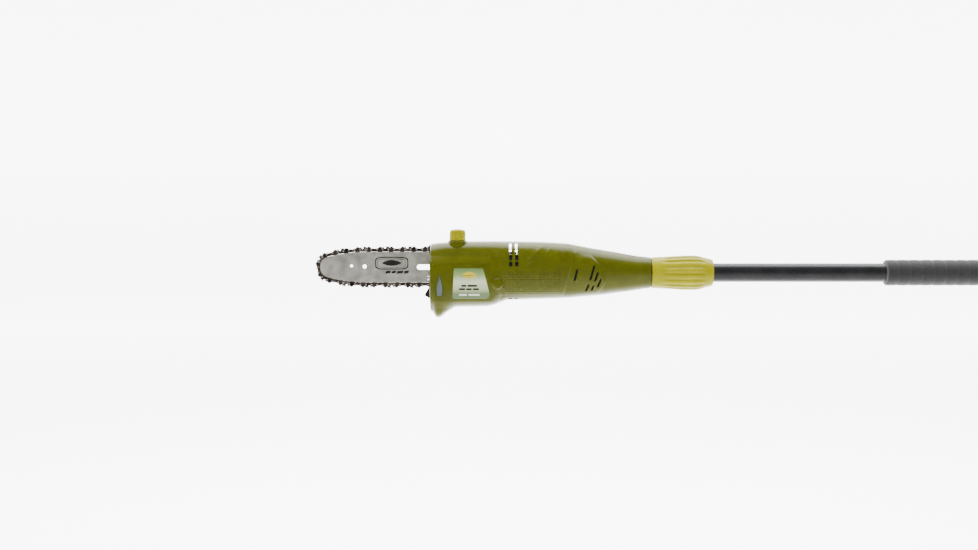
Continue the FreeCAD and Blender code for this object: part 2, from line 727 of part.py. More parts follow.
def build_chain():
    """Saw chain: drive links, tie straps, left and right cutters and rivets."""
    total, place = chain_route()
    count = 2 * round(total / chain_pitch / 2)
    step = total / count
    spots = [place(i * step) for i in range(count)]
    world = [(sprocket_x - u, drive_height + v) for u, v, _ in spots]
    drive, straps, cutters, rivets = [], [], [], []
    half_tang = tang_thickness / 2
    y_in, y_out = half_tang + 0.05, half_tang + 0.05 + strap_thickness
    r = strap_height / 2
    for i in range(count):
        p, q = world[i], world[(i + 1) % count]
        span = math.hypot(q[0] - p[0], q[1] - p[1])
        if i % 2 == 0:
            tang = [(span * 0.12, -r), (span * 0.38, -tang_reach),
                    (span * 0.62, -tang_reach), (span * 0.88, -r)]
            plate, _, _ = link_plate(p, q, strap_height, bar_plane - half_tang, bar_plane + half_tang, tang)
            drive.append(plate)
        else:
            turn = (i // 2) % 4
            for side in (-1, 1):
                y0, y1 = (bar_plane + y_in, bar_plane + y_out) if side > 0 else \
                    (bar_plane - y_out, bar_plane - y_in)
                plate, at, _ = link_plate(p, q, strap_height, y0, y1)
                is_cutter = (turn == 1 and side > 0) or (turn == 3 and side < 0)
                if not is_cutter:
                    straps.append(plate)
                    continue
                top = [(-3.6, 2.0), (-3.6, cutter_height), (span - 3.0, cutter_height - 0.8),
                       (span - 2.4, 3.0), (span + 1.6, 3.0), (span + 3.4, cutter_height - 1.4),
                       (span + 4.4, 1.0), (span, 0.5), (0, 0.5)]
                corners = [at(a, o) for a, o in top]
                for c in corners:
                    c.y = y0
                blade = Part.Face(Part.makePolygon(corners + corners[:1])).extrude(V(0, y1 - y0, 0))
                roof = [at(a, o) for a, o in ((-3.6, cutter_height - 1.3), (-3.6, cutter_height),
                                              (span - 3.0, cutter_height - 0.8),
                                              (span - 3.0, cutter_height - 2.1))]
                inner_y = bar_plane - side * 0.2
                outer_y = bar_plane + side * (y_out + 0.9)
                for c in roof:
                    c.y = min(inner_y, outer_y)
                tooth = Part.Face(Part.makePolygon(roof + roof[:1])).extrude(V(0, abs(outer_y - inner_y), 0))
                holes = [rod(V(c[0], y0 - 1, c[1]), AY, rivet_radius, y1 - y0 + 2) for c in (p, q)]
                cutters.append(biggest(plate.fuse([blade, tooth]).cut(holes)))
        rivets.append(rod(V(p[0], bar_plane - y_out - 0.25, p[1]), AY, rivet_radius, 2 * y_out + 0.5))
    nodes["chain_drive_links"] = group(drive)
    nodes["chain_tie_straps"] = group(straps)
    nodes["chain_cutters"] = group(cutters)
    nodes["chain_rivets"] = group(rivets)


# ---------------------------------------------------------------- drive line
def build_sprocket_drive():
    """Rim sprocket, its shaft, bevel gear and clip, turning about Y."""
    centre = V(sprocket_x, 0, drive_height)
    shaft_start, shaft_end = -19.0, bar_plane + 10.0
    nodes["sprocket_shaft"] = rod(centre + AY * shaft_start, AY, sprocket_shaft_radius,
                                  shaft_end - shaft_start)
    hub_r = sprocket_pitch_radius - tang_reach - 1.2
    rim_r = sprocket_pitch_radius - strap_height / 2 - 1.3
    inner = tang_thickness / 2 + 0.4
    body = rod(centre + AY * (bar_plane - 5.0), AY, hub_r, 10.0)
    rims = []
    for y0 in (bar_plane - inner - 2.4, bar_plane + inner):
        rim = rod(centre + AY * y0, AY, rim_r, 2.4)
        notches = []
        for i in range(6):
            a = i * math.pi / 3
            at = centre + V((rim_r + 1.5) * math.cos(a), y0, (rim_r + 1.5) * math.sin(a))
            notches.append(rod(at, AY, 3.2, 2.4))
        rims.append(rim.cut(notches))
    sprocket = body.fuse(rims).cut(rod(centre, AY, sprocket_shaft_radius, 60))
    clip_y = bar_plane + 5.0
    clip = pipe(centre + AY * clip_y, AY, sprocket_shaft_radius + 3, sprocket_shaft_radius, 1.2)
    nodes["drive_sprocket"] = group([biggest(sprocket), clip])
    back = gear_radius * pinion_teeth / gear_teeth + gear_mesh_gap
    inner_r = gear_radius * 0.55
    lift = back * inner_r / gear_radius
    profile = [(-lift, sprocket_shaft_radius), (-lift, inner_r), (-back, gear_radius),
               (-back - 4.5, gear_radius - 2.0), (-back - 4.5, sprocket_shaft_radius)]
    gear = turned(profile, centre, AY)
    angle = math.atan2(back - lift, gear_radius - inner_r)
    cuts = []
    for i in range(gear_teeth):
        a = 2 * math.pi * i / gear_teeth
        out = V(math.cos(a), 0, math.sin(a))
        start = centre + out * (inner_r - 1) + AY * (-lift + 0.35)
        axis = out * math.cos(angle) - AY * math.sin(angle)
        cuts.append(rod(start, axis, 0.62, gear_radius))
    nodes["bevel_gear"] = biggest(gear.cut(cuts))


def build_motor():
    """Universal motor along X: stator, coils, rotor parts, brushes and bearings."""
    axis = V(0, 0, drive_height)
    apex = sprocket_x
    reach = gear_radius
    pinion_r = gear_radius * pinion_teeth / gear_teeth - gear_mesh_gap
    profile = [(apex + reach * 0.58, rotor_shaft_radius * 0.5), (apex + reach * 0.58, pinion_r * 0.58),
               (apex + reach, pinion_r), (apex + reach + 4, pinion_r - 0.6),
               (apex + reach + 4, rotor_shaft_radius * 0.5)]
    pinion = turned(profile, axis, AX)
    angle = math.atan2(pinion_r * 0.42, reach * 0.42)
    cuts = []
    for i in range(pinion_teeth):
        a = 2 * math.pi * i / pinion_teeth
        out = V(0, math.cos(a), math.sin(a))
        start = axis + AX * (apex + reach * 0.5) + out * (pinion_r * 0.5 + 0.2)
        cuts.append(rod(start, AX * math.cos(angle) + out * math.sin(angle), 0.55, reach))
    nodes["bevel_pinion"] = biggest(pinion.cut(cuts))
    bore = rotor_shaft_radius * 0.5
    shaft_front = apex + reach * 0.58
    shaft_rear = rear_bearing_x() + bearing_width + 1.0
    thin = rod(axis + AX * shaft_front, AX, bore, reach * 0.42 + 4.5)
    thick = rod(axis + AX * (apex + reach + 4.0), AX, rotor_shaft_radius, shaft_rear - apex - reach - 4.0)
    nodes["rotor_shaft"] = thin.fuse(thick)
    core_r = stator_bore - air_gap
    core = pipe(axis + AX * (stator_front + 3), AX, core_r, rotor_shaft_radius, stator_length - 6)
    slots = []
    for i in range(12):
        a = 2 * math.pi * i / 12
        slots.append(rod(axis + AX * stator_front + V(0, math.cos(a), math.sin(a)) * (core_r - 2.2), AX, 1.8,
                         stator_length))
    nodes["rotor_core"] = core.cut(slots)
    com_x = -stator_rear + 6.0
    nodes["commutator"] = pipe(axis + AX * com_x, AX, commutator_radius, rotor_shaft_radius,
                               commutator_length)
    fan_x = stator_front - 11.0 - fan_width
    disc = pipe(axis + AX * (fan_x + fan_width - 2), AX, fan_radius, rotor_shaft_radius, 2)
    hub = pipe(axis + AX * fan_x, AX, rotor_shaft_radius + 5, rotor_shaft_radius, fan_width)
    blades = []
    for i in range(10):
        blade = block(fan_x, fan_x + fan_width - 1, -0.8, 0.8, 8, fan_radius)
        blade.rotate(V(0, 0, 0), AX, 36 * i)
        blade.translate(axis)
        blades.append(blade)
    nodes["cooling_fan"] = biggest(disc.fuse([hub] + blades))
    bore_cut = rod(axis + AX * (stator_front - 1), AX, stator_bore, stator_length + 2)
    gaps = [block(stator_front - 1, -stator_rear + 1, -5, 5, drive_height + s - 6, drive_height + s + 6)
            for s in (-20, 20)]
    ring_out = rod(axis + AX * stator_front, AX, stator_radius, stator_length)
    yoke = pipe(axis + AX * stator_front, AX, stator_radius, stator_radius - 5, stator_length)
    nodes["motor_stator"] = biggest(ring_out.cut([bore_cut] + gaps).fuse(yoke))
    coils = []
    for x0 in (stator_front - 8.0, -stator_rear):
        coil = pipe(axis + AX * x0, AX, stator_radius - 4, stator_bore + 1.5, 8)
        splits = [block(x0 - 1, x0 + 9, -3, 3, drive_height - 40, drive_height + 40)]
        coils += coil.cut(splits).Solids
    nodes["field_coils"] = group(coils)
    holders, brushes = [], []
    mid = com_x + commutator_length / 2
    for side in (-1, 1):
        inner, outer = commutator_radius + 0.4, commutator_radius + 19
        y0, y1 = sorted((side * (inner + 1.6), side * outer))
        holder = block(mid - 6, mid + 6, y0, y1, drive_height - 6, drive_height + 6)
        b0, b1 = sorted((side * inner, side * (outer - 3)))
        brush = block(mid - 4, mid + 4, b0, b1, drive_height - 3, drive_height + 3)
        holders.append(holder.cut(brush))
        brushes.append(brush)
    nodes["carbon_brushes"] = group(brushes)
    ring_x = mid + 6
    plate = pipe(axis + AX * (ring_x), AX, stator_radius, commutator_radius + 1, 3.0)
    posts = [block(-stator_rear, ring_x + 1, y - 3, y + 3, drive_height + z - 2, drive_height + z + 2)
             for y, z in ((0, stator_radius - 3), (0, -stator_radius + 3))]
    nodes["brush_holder"] = biggest(joined([plate] + holders + posts))


def gearbox_rear():
    """Rear face of the gearbox casting."""
    return sprocket_x + gearbox_half + 2.0


def build_gearbox():
    """Cast gearbox, and the four bearings of the motor shaft and the sprocket shaft."""
    z0, z1 = drive_height - gearbox_half + 2, drive_height + gearbox_half - 2
    x0, x1 = sprocket_x - gearbox_half, gearbox_rear()
    y0, y1 = -24.0, bay_wall - shell_wall - 0.2
    w = gearbox_wall
    case = block(x0, x1, y0, y1, z0, z1).cut(block(x0 + w, x1 - w, y0 + w, y1 - w, z0 + w, z1 - w))
    centre = V(sprocket_x, 0, drive_height)
    front_x = gearbox_rear() - gearbox_wall - 3.0
    seat = rod(V(front_x, 0, drive_height), AX, bearing_radius + 3, bearing_width)
    ears = [rod(centre + AY * (y0 + 1), AY, bearing_radius + 3, bearing_width - 1 + 1),
            rod(centre + AY * (y1 - bearing_width), AY, bearing_radius + 3, bearing_width)]
    case = case.fuse([seat] + ears)
    cuts = [rod(V(front_x, 0, drive_height), AX, bearing_radius, bearing_width + 10),
            rod(centre + AY * (y0 + 1), AY, bearing_radius, bearing_width),
            rod(centre + AY * (y1 - bearing_width), AY, bearing_radius, bearing_width + 5)]
    nodes["gearbox_casting"] = biggest(case.cut(cuts))
    motor_axis = V(0, 0, drive_height)
    nodes["shaft_bearings"] = group([
        pipe(motor_axis + AX * front_x, AX, bearing_radius, rotor_shaft_radius, bearing_width),
        pipe(motor_axis + AX * rear_bearing_x(), AX, bearing_radius, rotor_shaft_radius, bearing_width),
        pipe(centre + AY * (y0 + 1), AY, bearing_radius, sprocket_shaft_radius, bearing_width),
        pipe(centre + AY * (y1 - bearing_width), AY, bearing_radius, sprocket_shaft_radius, bearing_width)])


# ---------------------------------------------------------------- oil system
def oil_pipe_x():
    """Where the oil pipe crosses to the bar."""
    return stud_x + 22.0


def build_oil_parts():
    """Tank, sight window, pump, pipe, cap seal and cap."""
    w = tank_wall
    x0, x1 = head_front + 12.0, block_rear - 21.0
    hollow = block(x0 + w, x1 - w, -head_half_width + 8 + w, -26 - w, -34 + w, 31 - w)
    hollow = hollow.fuse(block(filler_x - 18 + w, filler_x + 18 - w, -34 + w, -6 - w, 28, boss_top - 12 - w))
    hollow = hollow.fuse(rod(V(filler_x, filler_y, 34), AZ, filler_radius - w, boss_top))
    outlet = rod(V(oil_pipe_x(), -40, drive_height - 34), AY, oil_pipe_radius, 20)
    pump_cut = block(sprocket_x - gearbox_half - 0.2, 0, -24.2, 60, -60, drive_height + gearbox_half - 1.8)
    tank = tank_outside(0.0).cut(pump_cut)
    tank = tank.cut(hollow.common(tank_outside(-w + 0.001).fuse(hollow_neck())))
    nodes["oil_tank"] = biggest(tank.cut(outlet))
    nodes["oil_window"] = biggest(skin(window_outline(0.0), 0.4, shell_wall + 0.6))
    px = oil_pipe_x() - pump_size / 2
    pz = drive_height - 34 - pump_size / 2
    pump = block(px, px + pump_size, -20.0, -20.0 + pump_size, pz, pz + pump_size)
    line_y0 = -26.0 - w
    run = rod(V(oil_pipe_x(), line_y0, drive_height - 34), AY, oil_pipe_radius, bay_wall - line_y0)
    nodes["oil_pump"] = pump.cut(run)
    nodes["oil_pipe"] = run.cut(rod(V(oil_pipe_x(), line_y0 - 1, drive_height - 34), AY,
                                    oil_pipe_radius - 0.8, 80))
    top = boss_top + 2.0
    seal = pipe(V(filler_x, filler_y, top), AZ, filler_radius, filler_radius - w, 1.2)
    nodes["cap_seal"] = seal
    cap = rod(V(filler_x, filler_y, top + 1.3), AZ, cap_radius, cap_height - 3.3)
    dome = Part.makeSphere(34.0, V(filler_x, filler_y, top + cap_height - 34.0))
    cap = cap.common(dome)
    ribs = []
    for i in range(20):
        a = 2 * math.pi * i / 20
        at = V(filler_x + cap_radius * math.cos(a), filler_y + cap_radius * math.sin(a), top)
        ribs.append(rod(at, AZ, 0.9, cap_height - 3))
    skirt = pipe(V(filler_x, filler_y, boss_top + 0.4), AZ, cap_radius, filler_radius + 0.3, 3.2)
    plug = pipe(V(filler_x, filler_y, top - 14.0), AZ, filler_radius - w - 0.1, filler_radius - w - 2.5, 16)
    nodes["oil_cap"] = biggest(cap.fuse([skirt, plug]).cut(ribs))


def hollow_neck():
    """Open bore of the filler neck."""
    return rod(V(filler_x, filler_y, 34), AZ, filler_radius - tank_wall, boss_top)


# ---------------------------------------------------------------- small head parts
def front_plates():
    """Bumper spike and chain guard tab, flat against the wall behind the bar."""
    x = head_front
    y0, y1 = bay_wall - shell_wall - 2.0, bay_wall - shell_wall
    spike = slab([(x - 11.0, -39.0), (x - 3.0, -26.0), (x + 9.0, -26.0), (x + 9.0, -44.0), (x - 3.0, -44.0)],
                 y0, y1)
    guard = slab([(x - 3.5, 34.0), (x - 3.5, 46.0), (x + 2.0, 47.0), (x + 7.0, 47.0), (x + 7.0, 34.0)],
                 y0, y1)
    return [spike, guard]


def build_head_trim():
    """Stud, spikes, label, clamp, seal ring and cover knob."""
    base_y = bay_wall
    flange = rod(V(stud_x, base_y, drive_height), AY, 9.0, bar_plane - bar_thickness / 2 - base_y)
    stud = rod(V(stud_x, base_y - 8, drive_height), AY, stud_radius, head_half_width + 12 - base_y + 8)
    nodes["bar_stud"] = flange.fuse(stud)
    nodes["front_plates"] = group(front_plates())
    nodes["rating_label"] = biggest(skin(label_outline(), panel_rise + label_thickness, -panel_rise))
    clamp = clamp_outside(0.0).cut(rod(V(-99, 0, 0), AX, inner_tube_radius, 120))
    slit = block(-99, 5, -1.0, 1.0, -30, 0)
    nodes["pole_clamp"] = biggest(clamp.cut(slit))
    nodes["tail_ring"] = pipe(V(0.0, 0, 0), AX, tail_radius - 1.6, inner_tube_radius + 0.2, 1.8)
    knob_y = head_half_width + 0.5
    knob = rod(V(stud_x, knob_y, drive_height), AY, knob_radius, 11.0)
    scallops = []
    for i in range(8):
        a = 2 * math.pi * i / 8
        at = V(stud_x + 20 * math.cos(a), knob_y + 2.5, drive_height + 20 * math.sin(a))
        scallops.append(rod(at, AY, 5.0, 9))
    bore = rod(V(stud_x, knob_y - 1, drive_height), AY, stud_radius + 0.05, 20)
    nodes["cover_knob"] = knob.cut(scallops + [bore])


# ---------------------------------------------------------------- pole
def build_pole():
    """Inner tube on the head; outer tube, collet, collar and grip on the pole."""
    nodes["inner_tube"] = pipe(V(-tube_insert, 0, 0), AX, inner_tube_radius,
                               inner_tube_radius - inner_tube_wall, tube_insert + inner_reach())
    bore = outer_tube_radius - outer_tube_wall
    end = inner_reach()
    plug = rod(V(end - bush_length, 0, 0), AX, inner_tube_radius - inner_tube_wall, bush_length)
    flange = rod(V(end, 0, 0), AX, bore - slide_clearance, 8.0)
    through = rod(V(end - bush_length - 1, 0, 0), AX, lead_radius + 0.5, bush_length + 20)
    nodes["tube_end_bush"] = plug.fuse(flange).cut(through)
    lead_end = outer_tube_start + outer_tube_length - 4.0
    nodes["coiled_lead"] = pipe(V(-tube_insert + 4, 0, 0), AX, lead_radius, lead_radius - 3.4,
                                lead_end + tube_insert - 4)
    nodes["outer_tube"] = pipe(V(outer_tube_start, 0, 0), AX, outer_tube_radius, bore, outer_tube_length)
    collet_x = collar_front_gap + 3.6
    collet = pipe(V(collet_x, 0, 0), AX, collar_bore - 0.35, outer_tube_radius, collet_length)
    lip = pipe(V(collet_x, 0, 0), AX, collar_bore - 0.35, inner_tube_radius + slide_clearance,
               outer_tube_start - collet_x)
    nodes["lock_collet"] = collet.fuse(lip).cut(block(0, 60, -0.8, 0.8, 0, 40))
    thread = pipe(V(collet_x + collet_length + 2, 0, 0), AX, collar_bore - 0.35, outer_tube_radius, 34.0)
    nodes["thread_sleeve"] = thread
    front = collar_front_gap
    belly = front + 0.62 * collar_length
    profile = [(front, inner_tube_radius + 1.2), (front, collar_front_radius - 1.2),
               (front + 2.5, collar_front_radius), (belly, collar_belly_radius),
               (belly + 12, collar_belly_radius - 0.4), (front + collar_length - 8, collar_rear_radius + 1.5),
               (front + collar_length, collar_rear_radius), (front + collar_length, outer_tube_radius + 0.4),
               (front + collar_length - 6, outer_tube_radius + 0.4), (front + collar_length - 8, collar_bore),
               (front + 3.0, collar_bore), (front + 3.0, inner_tube_radius + 1.2)]
    collar = turned(profile, V(0, 0, 0), AX)
    flutes = []
    for i in range(flute_count):
        a = 2 * math.pi * i / flute_count
        out = V(0, math.cos(a), math.sin(a))
        flutes.append(rod(AX * (front + 22) + out * (collar_belly_radius + 0.9), AX, flute_radius,
                          collar_length * 0.6))
    nodes["lock_collar"] = biggest(collar.cut(flutes))
    grip = pipe(V(foam_start, 0, 0), AX, outer_tube_radius + foam_thickness, outer_tube_radius, foam_length)
    nodes["foam_grip"] = grip
    tube_end = outer_tube_start + outer_tube_length
    liner = pipe(V(tube_end - liner_depth, 0, 0), AX, outer_tube_radius, lead_radius, liner_depth + liner_proud)
    nodes["tube_liner"] = liner.cut(pipe(V(tube_end - liner_depth - 1, 0, 0), AX, outer_tube_radius + 1, bore,
                                         liner_depth + 1))


def inner_reach():
    """Rear end of the inner tube when the pole is closed."""
    return outer_tube_start + outer_tube_length - tube_tail_room


# ---------------------------------------------------------------- rear handle
def handle_outline(inset):
    """Side outline of the rear handle with its finger guard."""
    x0, x1 = handle_start + inset, handle_end - inset
    gap0 = handle_start + finger_gap_start
    gap1 = gap0 + finger_gap_length
    top, low, bow = grip_height - inset, -grip_depth + inset, -bow_depth + inset
    front = socket_radius - inset
    return [(x0, front, 4.0), (x0 + 80, front, 30.0), (gap0 + 10, top, 40.0), (gap1 - 30, top + 1.5, 60.0),
            (x1, top - 3.0, 12.0), (x1, low - 22.0, 10.0), (gap1 + 24 - inset, low - 26.0, 24.0),
            (gap1 + 2, bow, 26.0), (gap0 - 2, bow, 30.0), (gap0 - 40, -front - 4.0, 30.0), (x0, -front, 4.0)]


def finger_gap(grow, y0, y1):
    """Opening that the fingers pass through."""
    gap0 = handle_start + finger_gap_start - grow
    gap1 = gap0 + finger_gap_length + 2 * grow
    top, bottom = -grip_depth + grow, -bow_depth + bow_thickness - grow
    points = [(gap0 + 8, top), (gap1 - 6, top), (gap1, bottom + 12), (gap1 - 18, bottom),
              (gap0 + 14, bottom), (gap0, bottom + 12)]
    return soft_slab(points, 12.0 + grow, y0, y1)


def handle_form(inset):
    """Solid of the handle: side outline met with a rounded end section."""
    w = handle_half_width - inset
    sides = soft_slab(handle_outline(inset), 8.0, -w, w)
    socket = rod(V(handle_start + inset, 0, 0), AX, socket_radius - inset, 78)
    body = sides.fuse(socket)
    edge = 5.0 + inset * 0.4
    keep = bevel_box(edge, inset)
    return body.common(keep)


def bevel_box(edge, inset):
    """Long box with bevelled long edges that trims the handle's corners."""
    w = handle_half_width + 4.2 - inset
    top = socket_radius + 2 - inset
    low = -bow_depth - 2 + inset
    points = [(-w, low + edge + 6), (-w + edge + 6, low), (w - edge - 6, low), (w, low + edge + 6),
              (w, top - edge - 4), (w - edge - 4, top), (-w + edge + 4, top), (-w, top - edge - 4)]
    corners = [V(handle_start - 5, y, z) for y, z in points]
    return Part.Face(Part.makePolygon(corners + corners[:1])).extrude(V(handle_length + 10, 0, 0))


handle_screw_offsets = [(40.0, -outer_tube_radius - screw_tube_gap), (92.0, -36.0),
                        (finger_gap_start + finger_gap_length + 12.0, -30.0), (160.0, -59.5), (270.0, 6.0)]


def trigger_pivot():
    """Pivot of the trigger, at the front of the finger gap."""
    return V(handle_start + finger_gap_start + 14.0, 0, -grip_depth + 7.0)


def trigger_cut(grow):
    """Window in the underside of the grip for the trigger."""
    p = trigger_pivot()
    return block(p.x - 6 - grow, p.x + trigger_length + 8 + grow, -trigger_width / 2 - grow,
                 trigger_width / 2 + grow, -grip_depth - 2, -grip_depth + handle_wall + 1)


def button_place():
    """Centre of the lock-off button on the left side."""
    return V(handle_start + finger_gap_start + 34.0, -handle_half_width, 6.0)


def inlet_place():
    """Centre of the power inlet in the handle's end."""
    return V(handle_end, 0, -4.0)


def build_handle():
    """Two handle halves, switch, trigger, button, inlet, screws and cord hook."""
    reach = handle_half_width + 10
    w = handle_wall
    solid = handle_form(0.0).cut(finger_gap(0.0, -reach, reach))
    hollow = handle_form(w).cut(finger_gap(w, -reach, reach))
    shell = solid.cut(hollow)
    pivot = trigger_pivot()
    posts = []
    for dx, z in handle_screw_offsets:
        post = rod(V(handle_start + dx, -reach, z), AY, boss_wall_radius, 2 * reach).common(solid)
        posts.append(post)
    rings = []
    tube_end = outer_tube_start + outer_tube_length
    for x in (handle_start + 24.0, tube_end - 14.0):
        ring_rib = block(x - 2, x + 2, -reach, reach, -socket_radius, socket_radius).common(solid)
        rings.append(ring_rib)
    switch_x = pivot.x + 20.0
    shelf = block(switch_x - 2.0, switch_x + 34.0, -reach, reach, 9.1, 11.4).common(solid)
    inlet_rib = block(handle_end - inlet_depth - 3.0, handle_end - inlet_depth, -reach, reach, -40, 40)
    inlet_rib = inlet_rib.common(solid)
    pivot_posts = rod(V(pivot.x, -reach, pivot.z), AY, 4.5, 2 * reach).common(solid)
    pivot_gap = trigger_width / 2 + 0.4
    pivot_posts = pivot_posts.cut(block(pivot.x - 9, pivot.x + 9, -pivot_gap, pivot_gap,
                                        pivot.z - 9, pivot.z + 9))
    shell = shell.fuse(posts + rings + [shelf, inlet_rib, pivot_posts])
    b = button_place()
    place = inlet_place()
    cuts = [rod(V(handle_start - 5, 0, 0), AX, outer_tube_radius, tube_end - handle_start + 5 + liner_proud),
            trigger_cut(0.6),
            rod(V(b.x, -reach, b.z), AY, button_radius + 0.3, reach - 4),
            rod(V(pivot.x, -trigger_width / 2 - 4, pivot.z), AY, 2.05, trigger_width + 8),
            rod(V(place.x - inlet_depth, 0, place.z), AX, inlet_radius + 0.1, inlet_depth + 5)]
    for y in (-pin_spacing, pin_spacing):
        cuts.append(rod(V(place.x - inlet_depth - 9, y, place.z), AX, 2.05, 12))
    for dx, z in handle_screw_offsets:
        cuts.append(rod(V(handle_start + dx, -reach, z), AY, screw_radius, 2 * reach))
        cuts.append(rod(V(handle_start + dx, -reach, z), AY, screw_head_radius + 0.2,
                        reach - handle_half_width + 3.0))
    shell = shell.cut(cuts)
    left = shell.common(block(handle_start - 9, handle_end + 9, -reach, 0, -99, 99))
    right = shell.common(block(handle_start - 9, handle_end + 9, 0, reach, -99, 99))
    nodes["handle_left"] = biggest(left)
    nodes["handle_right"] = biggest(right)
    screws = []
    for dx, z in handle_screw_offsets:
        y = -handle_half_width + 3.0
        x = handle_start + dx
        head = rod(V(x, y - 2.2, z), AY, screw_head_radius, 2.2)
        screws.append(rod(V(x, y, z), AY, screw_radius, -y + 9).fuse(head))
    nodes["handle_screws"] = group(screws)
    nodes["switch_body"] = block(switch_x, switch_x + 30.0, -8, 8, -1.0, 9.0)
    plunger_x = switch_x + 8.0
    spring_z0, spring_z1 = pivot.z + spring_seat, -1.0
    nodes["trigger_spring"] = pipe(V(plunger_x, 0, spring_z0), AZ, 3.2, 2.0, spring_z1 - spring_z0)
    lever = [(pivot.x - 4.5, pivot.z + 3.2), (pivot.x + trigger_length, pivot.z - 0.6),
             (pivot.x + trigger_length + 4, pivot.z - 6.0), (pivot.x + trigger_length * 0.8, pivot.z - 17.0),
             (pivot.x + trigger_length * 0.35, pivot.z - 15.0), (pivot.x - 4.0, pivot.z - 6.5)]
    half = trigger_width / 2
    trigger = soft_slab(lever, 3.0, -half, half)
    axle = rod(V(pivot.x, -half - 3.4, pivot.z), AY, 2.0, trigger_width + 6.8)
    nodes["trigger"] = trigger.fuse(axle)
    button = rod(V(b.x, b.y - button_proud, b.z), AY, button_radius, button_proud + 7.0)
    nodes["lock_off_button"] = button.makeFillet(1.2, [e for e in button.Edges
                                                      if abs(e.CenterOfMass.y - (b.y - button_proud)) < 0.01])
    nodes["button_spring"] = pipe(V(b.x, b.y + 7.0, b.z), AY, 3.4, 2.2, -8.0 - b.y - 7.0)
    cup = rod(V(place.x - inlet_depth, 0, place.z), AX, inlet_radius, inlet_depth - 1.0)
    well = rod(V(place.x - inlet_depth + 3, 0, place.z), AX, inlet_radius - 2.2, inlet_depth)
    pin_holes = [rod(V(place.x - inlet_depth - 1, y, place.z), AX, 2.0, 6)
                 for y in (-pin_spacing, pin_spacing)]
    nodes["inlet_cup"] = cup.cut([well] + pin_holes)
    nodes["inlet_pins"] = group([rod(V(place.x - inlet_depth - 4, y, place.z), AX, 2.0, inlet_depth - 2)
                                 for y in (-pin_spacing, pin_spacing)])
    hook_x = handle_end - 34.0
    hook_top = -grip_depth - 16.0
    arm = [(hook_x, hook_top + 2), (hook_x + 5, hook_top + 2), (hook_x + 5, hook_top - 14),
           (hook_x + 22, hook_top - 14), (hook_x + 22, hook_top - 8), (hook_x + 26, hook_top - 8),
           (hook_x + 26, hook_top - 19), (hook_x, hook_top - 19)]
    hook = slab(arm, -5, 5)
    nodes["cord_hook"] = biggest(hook.cut(handle_form(0.0)))


# ---------------------------------------------------------------- build and write
def build_all():
    """Every node in the order of assembly."""
    build_housings()
    build_screws()
    build_bar()
    build_nose_sprocket()
    build_chain()
    build_sprocket_drive()
    build_motor()
    build_gearbox()
    build_oil_parts()
    build_head_trim()
    build_pole()
    build_handle()


build_all()
os.makedirs("parts", exist_ok=True)
for name, shape in nodes.items():
    shape.exportStep("parts/" + name + ".step")
    box = shape.BoundBox
    print("%-20s solids %3d  volume %10.0f  valid %s  x %7.1f..%7.1f  y %6.1f..%6.1f  z %6.1f..%6.1f" % (
        name, len(shape.Solids), shape.Volume, shape.isValid(), box.XMin, box.XMax, box.YMin, box.YMax,
        box.ZMin, box.ZMax))
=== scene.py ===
import enum
import logging
import math
from dataclasses import dataclass, field

import bmesh
import bpy
import numpy as np
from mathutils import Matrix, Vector


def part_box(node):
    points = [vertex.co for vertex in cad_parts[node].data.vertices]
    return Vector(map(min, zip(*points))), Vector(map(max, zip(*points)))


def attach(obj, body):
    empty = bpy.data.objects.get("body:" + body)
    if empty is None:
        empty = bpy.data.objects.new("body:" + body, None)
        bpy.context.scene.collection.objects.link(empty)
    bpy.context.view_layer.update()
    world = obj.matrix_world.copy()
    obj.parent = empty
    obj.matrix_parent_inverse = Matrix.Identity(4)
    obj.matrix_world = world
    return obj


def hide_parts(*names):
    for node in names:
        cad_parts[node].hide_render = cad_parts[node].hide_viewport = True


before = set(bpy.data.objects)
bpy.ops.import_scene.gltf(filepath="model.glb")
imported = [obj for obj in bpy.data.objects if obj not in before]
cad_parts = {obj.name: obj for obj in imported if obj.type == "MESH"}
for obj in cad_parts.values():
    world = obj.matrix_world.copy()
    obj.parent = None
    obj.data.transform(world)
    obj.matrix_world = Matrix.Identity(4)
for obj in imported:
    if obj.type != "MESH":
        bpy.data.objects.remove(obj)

log = logging.getLogger("pole_saw")
MM = 0.001
Array = np.ndarray


class Side(enum.Enum):
    """Sides of the saw as the operator holds it: -1 along Y is the left."""

    LEFT = -1
    RIGHT = 1


class Grain(enum.Enum):
    """Kinds of fine surface relief, as noise scale per metre and strength."""

    POLISHED = (2600.0, 0.015)
    MOULDED = (1400.0, 0.06)
    COARSE = (900.0, 0.35)


# ---------------------------------------------------------------- node helpers
def node(tree: bpy.types.NodeTree, kind: str, **values: object) -> bpy.types.Node:
    """Adds a shader node and sets its plain properties."""
    made = tree.nodes.new(kind)
    for name, value in values.items():
        setattr(made, name, value)
    return made


def link(tree: bpy.types.NodeTree, source: object, target: object) -> None:
    """Joins two sockets."""
    tree.links.new(source, target)


def object_coords(tree: bpy.types.NodeTree) -> object:
    """Object coordinates, which are metres in the saw's own frame."""
    return node(tree, "ShaderNodeTexCoord").outputs["Object"]


def noise(tree: bpy.types.NodeTree, coords: object, scale: float, detail: float = 3.0) -> object:
    """Noise value at a scale per metre."""
    made = node(tree, "ShaderNodeTexNoise")
    made.inputs["Scale"].default_value = scale
    made.inputs["Detail"].default_value = detail
    link(tree, coords, made.inputs["Vector"])
    return made.outputs["Fac"]


def ramp(tree: bpy.types.NodeTree, value: object, stops: list[tuple[float, tuple]]) -> object:
    """Colour ramp through the given stops of position and colour."""
    made = node(tree, "ShaderNodeValToRGB")
    elements = made.color_ramp.elements
    while len(elements) < len(stops):
        elements.new(0.5)
    for element, (place, colour) in zip(elements, stops):
        element.position = place
        element.color = (*colour, 1.0)
    link(tree, value, made.inputs["Fac"])
    return made.outputs["Color"]


